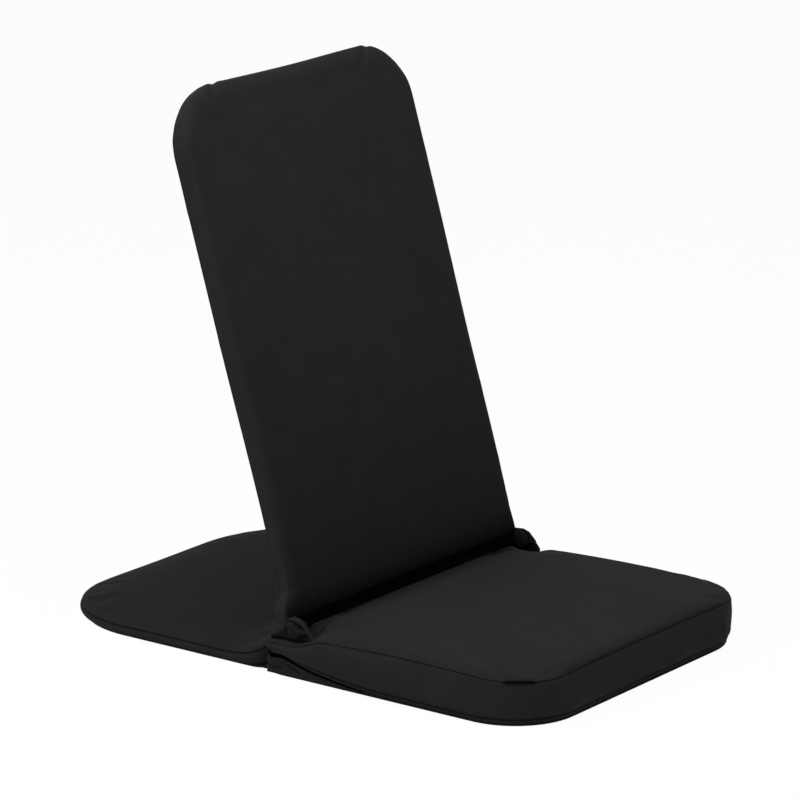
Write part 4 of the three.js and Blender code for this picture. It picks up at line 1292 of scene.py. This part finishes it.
def stitch_group():
    """A node group that lays stitches along the edges of a mesh."""
    found = bpy.data.node_groups.get("Stitch row")
    if found:
        return found
    group = bpy.data.node_groups.new("Stitch row", "GeometryNodeTree")
    sockets = group.interface
    sockets.new_socket("Geometry", in_out="INPUT", socket_type="NodeSocketGeometry")
    for name, value in (("Pitch", 0.0045), ("Length", 0.0032), ("Thickness", 0.0005)):
        socket = sockets.new_socket(name, in_out="INPUT", socket_type="NodeSocketFloat")
        socket.default_value = value
    sockets.new_socket("Thread", in_out="INPUT", socket_type="NodeSocketMaterial")
    sockets.new_socket("Geometry", in_out="OUTPUT", socket_type="NodeSocketGeometry")

    def node(kind, **values):
        made = group.nodes.new(kind)
        for key, value in values.items():
            setattr(made, key, value)
        return made

    def link(source, target):
        group.links.new(source, target)

    start, end = node("NodeGroupInput"), node("NodeGroupOutput")
    curve = node("GeometryNodeMeshToCurve")
    spaced = node("GeometryNodeResampleCurve", mode="LENGTH")
    tangent = node("GeometryNodeInputTangent")
    turned = node("FunctionNodeAlignRotationToVector", axis="X")
    bead = node("GeometryNodeMeshUVSphere")
    bead.inputs["Segments"].default_value = 8
    bead.inputs["Rings"].default_value = 6
    bead.inputs["Radius"].default_value = 0.5
    size = node("ShaderNodeCombineXYZ")
    vary = node("FunctionNodeRandomValue", data_type="FLOAT")
    vary.inputs[2].default_value = 0.86
    vary.inputs[3].default_value = 1.08
    vary.inputs["Seed"].default_value = 7
    long = node("ShaderNodeMath", operation="MULTIPLY")
    rows = node("GeometryNodeInstanceOnPoints")
    real = node("GeometryNodeRealizeInstances")
    painted = node("GeometryNodeSetMaterial")
    link(start.outputs["Geometry"], curve.inputs["Mesh"])
    link(curve.outputs["Curve"], spaced.inputs["Curve"])
    link(start.outputs["Pitch"], spaced.inputs["Length"])
    link(tangent.outputs["Tangent"], turned.inputs["Vector"])
    link(start.outputs["Length"], long.inputs[0])
    link(vary.outputs[1], long.inputs[1])
    link(long.outputs[0], size.inputs["X"])
    link(start.outputs["Thickness"], size.inputs["Y"])
    link(start.outputs["Thickness"], size.inputs["Z"])
    link(spaced.outputs["Curve"], rows.inputs["Points"])
    link(bead.outputs["Mesh"], rows.inputs["Instance"])
    link(turned.outputs["Rotation"], rows.inputs["Rotation"])
    link(size.outputs["Vector"], rows.inputs["Scale"])
    link(rows.outputs["Instances"], real.inputs["Geometry"])
    link(real.outputs["Geometry"], painted.inputs["Geometry"])
    link(start.outputs["Thread"], painted.inputs["Material"])
    link(painted.outputs["Geometry"], end.inputs["Geometry"])
    return group


def sew(name, piece, path, body):
    """A row of stitches laid on a piece's surface along a closed path."""
    track = bpy.data.meshes.new(name + "_path")
    skin = BVHTree.FromPolygons(
        [vertex.co for vertex in piece.data.vertices],
        [tuple(face.vertices) for face in piece.data.polygons])
    laid = []
    for point in path:
        place, normal = skin.find_nearest(Vector(point))[:2]
        laid.append(place + normal * 0.00012)
    count = len(laid)
    track.from_pydata(laid, [(i, (i + 1) % count) for i in range(count)], [])
    row = bpy.data.objects.new(name, track)
    bpy.context.scene.collection.objects.link(row)
    group = stitch_group()
    modifier = row.modifiers.new("Stitches", "NODES")
    modifier.node_group = group
    for item in group.interface.items_tree:
        if item.item_type == "SOCKET" and item.in_out == "INPUT":
            if item.name == "Thread":
                modifier[item.identifier] = thread_material()
            elif item.name == "Pitch":
                modifier[item.identifier] = settings("cloth").stitch_pitch
    evaluated = row.evaluated_get(bpy.context.evaluated_depsgraph_get())
    mesh = bpy.data.meshes.new_from_object(evaluated)
    row.modifiers.clear()
    row.data = mesh
    bpy.data.meshes.remove(track)
    mesh.name = name
    mesh.shade_smooth()
    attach(row, body)
    return row


# Crease web: half its length, the (y, z) of its middle and its half depth and height
WEB_HALF = 0.1882
WEB_MIDDLE = (-0.0148, 0.0470)
WEB_DEPTH, WEB_HEIGHT = 0.0078, 0.0064


def make_crease_web():
    """The cloth that closes the crease between the seat and the back's foot, painted nearly black as
    shade.
    """
    stations, around = 120, 16
    across = np.linspace(-WEB_HALF, WEB_HALF, stations)
    turns = np.linspace(0, 2 * math.pi, around + 1)[:-1]
    points, faces, uvs = [], [], []
    for k, x in enumerate(across):
        end = math.sqrt(max(1 - abs(2 * k / (stations - 1) - 1) ** 24, 0.02))
        wave = 0.0004 * math.sin(x * 210) + 0.0003 * math.sin(x * 470 + 1)
        for a in turns:
            points.append((x, WEB_MIDDLE[0] + wave + WEB_DEPTH * end * math.cos(a),
                           WEB_MIDDLE[1] + wave + WEB_HEIGHT * end * math.sin(a)))
    for k in range(stations - 1):
        for j in range(around):
            after = (j + 1) % around
            faces.append([k * around + j, k * around + after,
                          (k + 1) * around + after, (k + 1) * around + j])
            low, high = j * 0.0026, (j + 1) * 0.0026
            uvs += [(across[k], low), (across[k], high), (across[k + 1], high),
                    (across[k + 1], low)]
    first = list(range(around))
    last = [(stations - 1) * around + j for j in range(around)]
    faces += [first[::-1], last]
    for ring in (first[::-1], last):
        uvs += [(points[i][1], points[i][2]) for i in ring]
    piece = add_piece("crease_web", points, faces, uvs)
    # Painted shade: the web is made nearly black
    paint_shade(piece, np.full(len(points), 0.9))
    piece.data.materials.append(crease_shade_cloth())
    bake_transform(piece)
    return piece


# Hardware that the frame carries
def dress_frame():
    """Gives the frames, hinges, washers and sling their materials."""
    black = metal_material("frame_steel_black", BLACK_COAT, 0.5, 0.0, (1, 1, 1))
    zinc = metal_material("hinge_steel_zinc", ZINC, 0.42, 1.0, (1, 8, 1))
    nylon = plastic_material("nylon_washer", NYLON)
    for name in ("seat_frame", "seat_rear_bar", "back_frame", "back_lower_bar", "tail_rod"):
        paint(frame["nodes"][name], black)
    for side in ("left", "right"):
        for stem in ("hinge_ear_", "hinge_rivet_", "hinge_crank_"):
            paint(frame["nodes"][stem + side], zinc)
        paint(frame["nodes"]["hinge_washer_" + side], nylon)
    paint(frame["nodes"]["back_sling"], lining_weave())


def lining_weave():
    """Support cloth: its weave follows the object's own coordinates."""
    nodes = NodeTree("sling_cloth")
    place = nodes.add("TexCoord").outputs["Object"]
    grain = nodes.add("TexNoise", Vector=place, Scale=1400.0, Detail=3.0)
    shade = nodes.math("ADD", nodes.math("MULTIPLY", grain.outputs["Fac"], 0.6), 0.7)
    bump = nodes.add("Bump", Strength=0.5, Distance=0.0001, Height=grain.outputs["Fac"])
    return nodes.shaded(SLING_CLOTH, shade, 0.9, bump)


def paint(piece, material):
    """Gives a piece one material only."""
    piece.data.materials.clear()
    piece.data.materials.append(material)


# Studio: the fitted camera's view and the lamps as name, place, target and size
CAMERA_SHIFT = (0.0069, 0.0207)
CAMERA_TARGET = Vector((0.0207, 0.0154, 0.2151))
LAMPS = [
    ("top", (-0.1, -0.3, 1.15), (0, 0, 0.2), 0.7),
    ("rear", (-0.2, 0.4, 1.5), (0, 0, 0.1), 0.9),
    ("side", (-2.1, 0.45, 0.85), (0, 0, 0.3), 1.0),
    ("front", (0.0, -2.6, 0.5), (0, 0, 0.3), 1.2)]
FLOOR_REACH = 6
FLOOR_SHADE = 0.6
FLOOR_GLOW = 1.04
FLOOR_WHITE_SHARE = 0.93


def make_stage():
    """Camera, floor, lamps and a white world."""
    studio = settings("studio")
    scene = bpy.context.scene
    scene.view_settings.view_transform = "Standard"
    camera_data = bpy.data.cameras.new("camera")
    camera_data.lens = studio.lens
    camera_data.sensor_width = 36
    camera_data.shift_x, camera_data.shift_y = CAMERA_SHIFT
    camera_data.clip_end = 50
    camera = bpy.data.objects.new("camera", camera_data)
    azimuth, elevation = studio.azimuth, studio.elevation
    away = Vector((math.sin(azimuth) * math.cos(elevation),
                   -math.cos(azimuth) * math.cos(elevation), math.sin(elevation)))
    turn = (-away).to_track_quat("-Z", "Y").to_matrix().to_4x4()
    camera.matrix_world = (Matrix.Translation(CAMERA_TARGET + away * studio.distance) @ turn
                           @ Matrix.Rotation(-studio.roll, 4, "Z"))
    scene.collection.objects.link(camera)
    scene.camera = camera

    corners = [(FLOOR_REACH * x, FLOOR_REACH * y, 0) for x, y in ((-1, -1), (1, -1), (1, 1), (-1, 1))]
    floor = add_piece("floor", corners, [(0, 1, 2, 3)])
    paint(floor, floor_material())

    for name, place, aim, size in LAMPS:
        add_light(name + "_light", place, aim, size, getattr(studio, name + "_power"))

    world = bpy.data.worlds.new("studio_world")
    scene.world = world
    world.use_nodes = True
    tree = world.node_tree
    tree.nodes.clear()
    output = tree.nodes.new("ShaderNodeOutputWorld")
    light = tree.nodes.new("ShaderNodeBackground")
    light.inputs["Color"].default_value = (1, 1, 1, 1)
    light.inputs["Strength"].default_value = studio.ambient
    seen = tree.nodes.new("ShaderNodeBackground")
    seen.inputs["Color"].default_value = (1, 1, 1, 1)
    mix = tree.nodes.new("ShaderNodeMixShader")
    tree.links.new(seen_directly(tree), mix.inputs["Fac"])
    tree.links.new(light.outputs[0], mix.inputs[1])
    tree.links.new(seen.outputs[0], mix.inputs[2])
    tree.links.new(mix.outputs[0], output.inputs["Surface"])


def seen_directly(tree):
    """1 for a ray from the camera, or one that metal or glass sends on."""
    path = tree.nodes.new("ShaderNodeLightPath")
    socket = path.outputs["Is Camera Ray"]
    for name in ("Is Glossy Ray", "Is Transmission Ray"):
        both = tree.nodes.new("ShaderNodeMath")
        both.operation = "MAXIMUM"
        tree.links.new(socket, both.inputs[0])
        tree.links.new(path.outputs[name], both.inputs[1])
        socket = both.outputs[0]
    return socket


def floor_material():
    """A white floor that keeps a little of the chair's shadow."""
    nodes = NodeTree("studio_floor")
    plain = nodes.add("BsdfDiffuse", Color=(FLOOR_SHADE, FLOOR_SHADE, FLOOR_SHADE, 1))
    white = nodes.add("Emission", Strength=FLOOR_GLOW)
    keep = nodes.math("MULTIPLY", seen_directly(nodes.tree), FLOOR_WHITE_SHARE)
    mix = nodes.add("MixShader", Fac=keep, _1=plain.outputs[0], _2=white.outputs[0])
    return nodes.surface(mix)


def add_light(name, place, target, size, power):
    """A square lamp that faces its target."""
    data = bpy.data.lights.new(name, "AREA")
    data.shape = "SQUARE"
    data.size = size
    data.energy = power
    lamp = bpy.data.objects.new(name, data)
    lamp.location = place
    lamp.rotation_mode = "QUATERNION"
    lamp.rotation_quaternion = (Vector(target) - Vector(place)).to_track_quat("-Z", "Y")
    bpy.context.scene.collection.objects.link(lamp)


# Operators
class FLOORCHAIR_OT_seat_pad(bpy.types.Operator):
    """Make the seat pad"""

    bl_idname = "floorchair.seat_pad"
    bl_label = "Seat pad"

    def execute(self, context):
        make_seat_pad()
        return {"FINISHED"}


class FLOORCHAIR_OT_back_pad(bpy.types.Operator):
    """Make the back pad"""

    bl_idname = "floorchair.back_pad"
    bl_label = "Back pad"

    def execute(self, context):
        make_back_pad()
        return {"FINISHED"}


class FLOORCHAIR_OT_tail_pad(bpy.types.Operator):
    """Make the tail pad"""

    bl_idname = "floorchair.tail_pad"
    bl_label = "Tail pad"

    def execute(self, context):
        make_tail_pad()
        return {"FINISHED"}


class FLOORCHAIR_OT_base_cloth(bpy.types.Operator):
    """Make the base cloth that joins seat and tail"""

    bl_idname = "floorchair.base_cloth"
    bl_label = "Base cloth"

    def execute(self, context):
        make_base_cloth()
        return {"FINISHED"}


class FLOORCHAIR_OT_hinge_covers(bpy.types.Operator):
    """Make the gathered cloth over the hinges and in the crease"""

    bl_idname = "floorchair.hinge_covers"
    bl_label = "Hinge covers"

    def execute(self, context):
        for side in (1, -1):
            make_hinge_cover(side)
            make_crank_sock(side)
        make_crease_web()
        return {"FINISHED"}


class FLOORCHAIR_OT_hardware(bpy.types.Operator):
    """Give the frames, hinges and washers their finishes"""

    bl_idname = "floorchair.hardware"
    bl_label = "Hardware finishes"

    def execute(self, context):
        dress_frame()
        return {"FINISHED"}


class FLOORCHAIR_OT_stage(bpy.types.Operator):
    """Make the floor, lights and camera"""

    bl_idname = "floorchair.stage"
    bl_label = "Studio"

    def execute(self, context):
        make_stage()
        return {"FINISHED"}


OPERATORS = (
    FLOORCHAIR_OT_stage, FLOORCHAIR_OT_hardware, FLOORCHAIR_OT_base_cloth,
    FLOORCHAIR_OT_seat_pad, FLOORCHAIR_OT_back_pad, FLOORCHAIR_OT_tail_pad,
    FLOORCHAIR_OT_hinge_covers)
GROUPS = {
    "cloth": ClothSettings, "seat_pad": SeatPadSettings, "back_pad": BackPadSettings,
    "tail_pad": TailPadSettings, "studio": StudioSettings}


class FLOORCHAIR_PT_panel(bpy.types.Panel):
    """Lists the chair's pieces and their sizes"""

    bl_idname = "FLOORCHAIR_PT_panel"
    bl_label = "Folding floor chair"
    bl_space_type = "VIEW_3D"
    bl_region_type = "UI"
    bl_category = "Floor Chair"

    def draw(self, context):
        for operator in OPERATORS:
            self.layout.operator(operator.bl_idname)
        for name, group in GROUPS.items():
            box = self.layout.box()
            for key in group.__annotations__:
                box.prop(settings(name), key)


def register():
    for group in GROUPS.values():
        bpy.utils.register_class(group)
    for name, group in GROUPS.items():
        setattr(bpy.types.Scene, "floor_chair_" + name, PointerProperty(type=group))
    for operator in OPERATORS:
        bpy.utils.register_class(operator)
    bpy.utils.register_class(FLOORCHAIR_PT_panel)


def unregister():
    bpy.utils.unregister_class(FLOORCHAIR_PT_panel)
    for operator in reversed(OPERATORS):
        bpy.utils.unregister_class(operator)
    for name in GROUPS:
        delattr(bpy.types.Scene, "floor_chair_" + name)
    for group in GROUPS.values():
        bpy.utils.unregister_class(group)


def main():
    register()
    for operator in OPERATORS:
        group, name = operator.bl_idname.split(".")
        getattr(getattr(bpy.ops, group), name)()


if __name__ == "__main__":
    main()
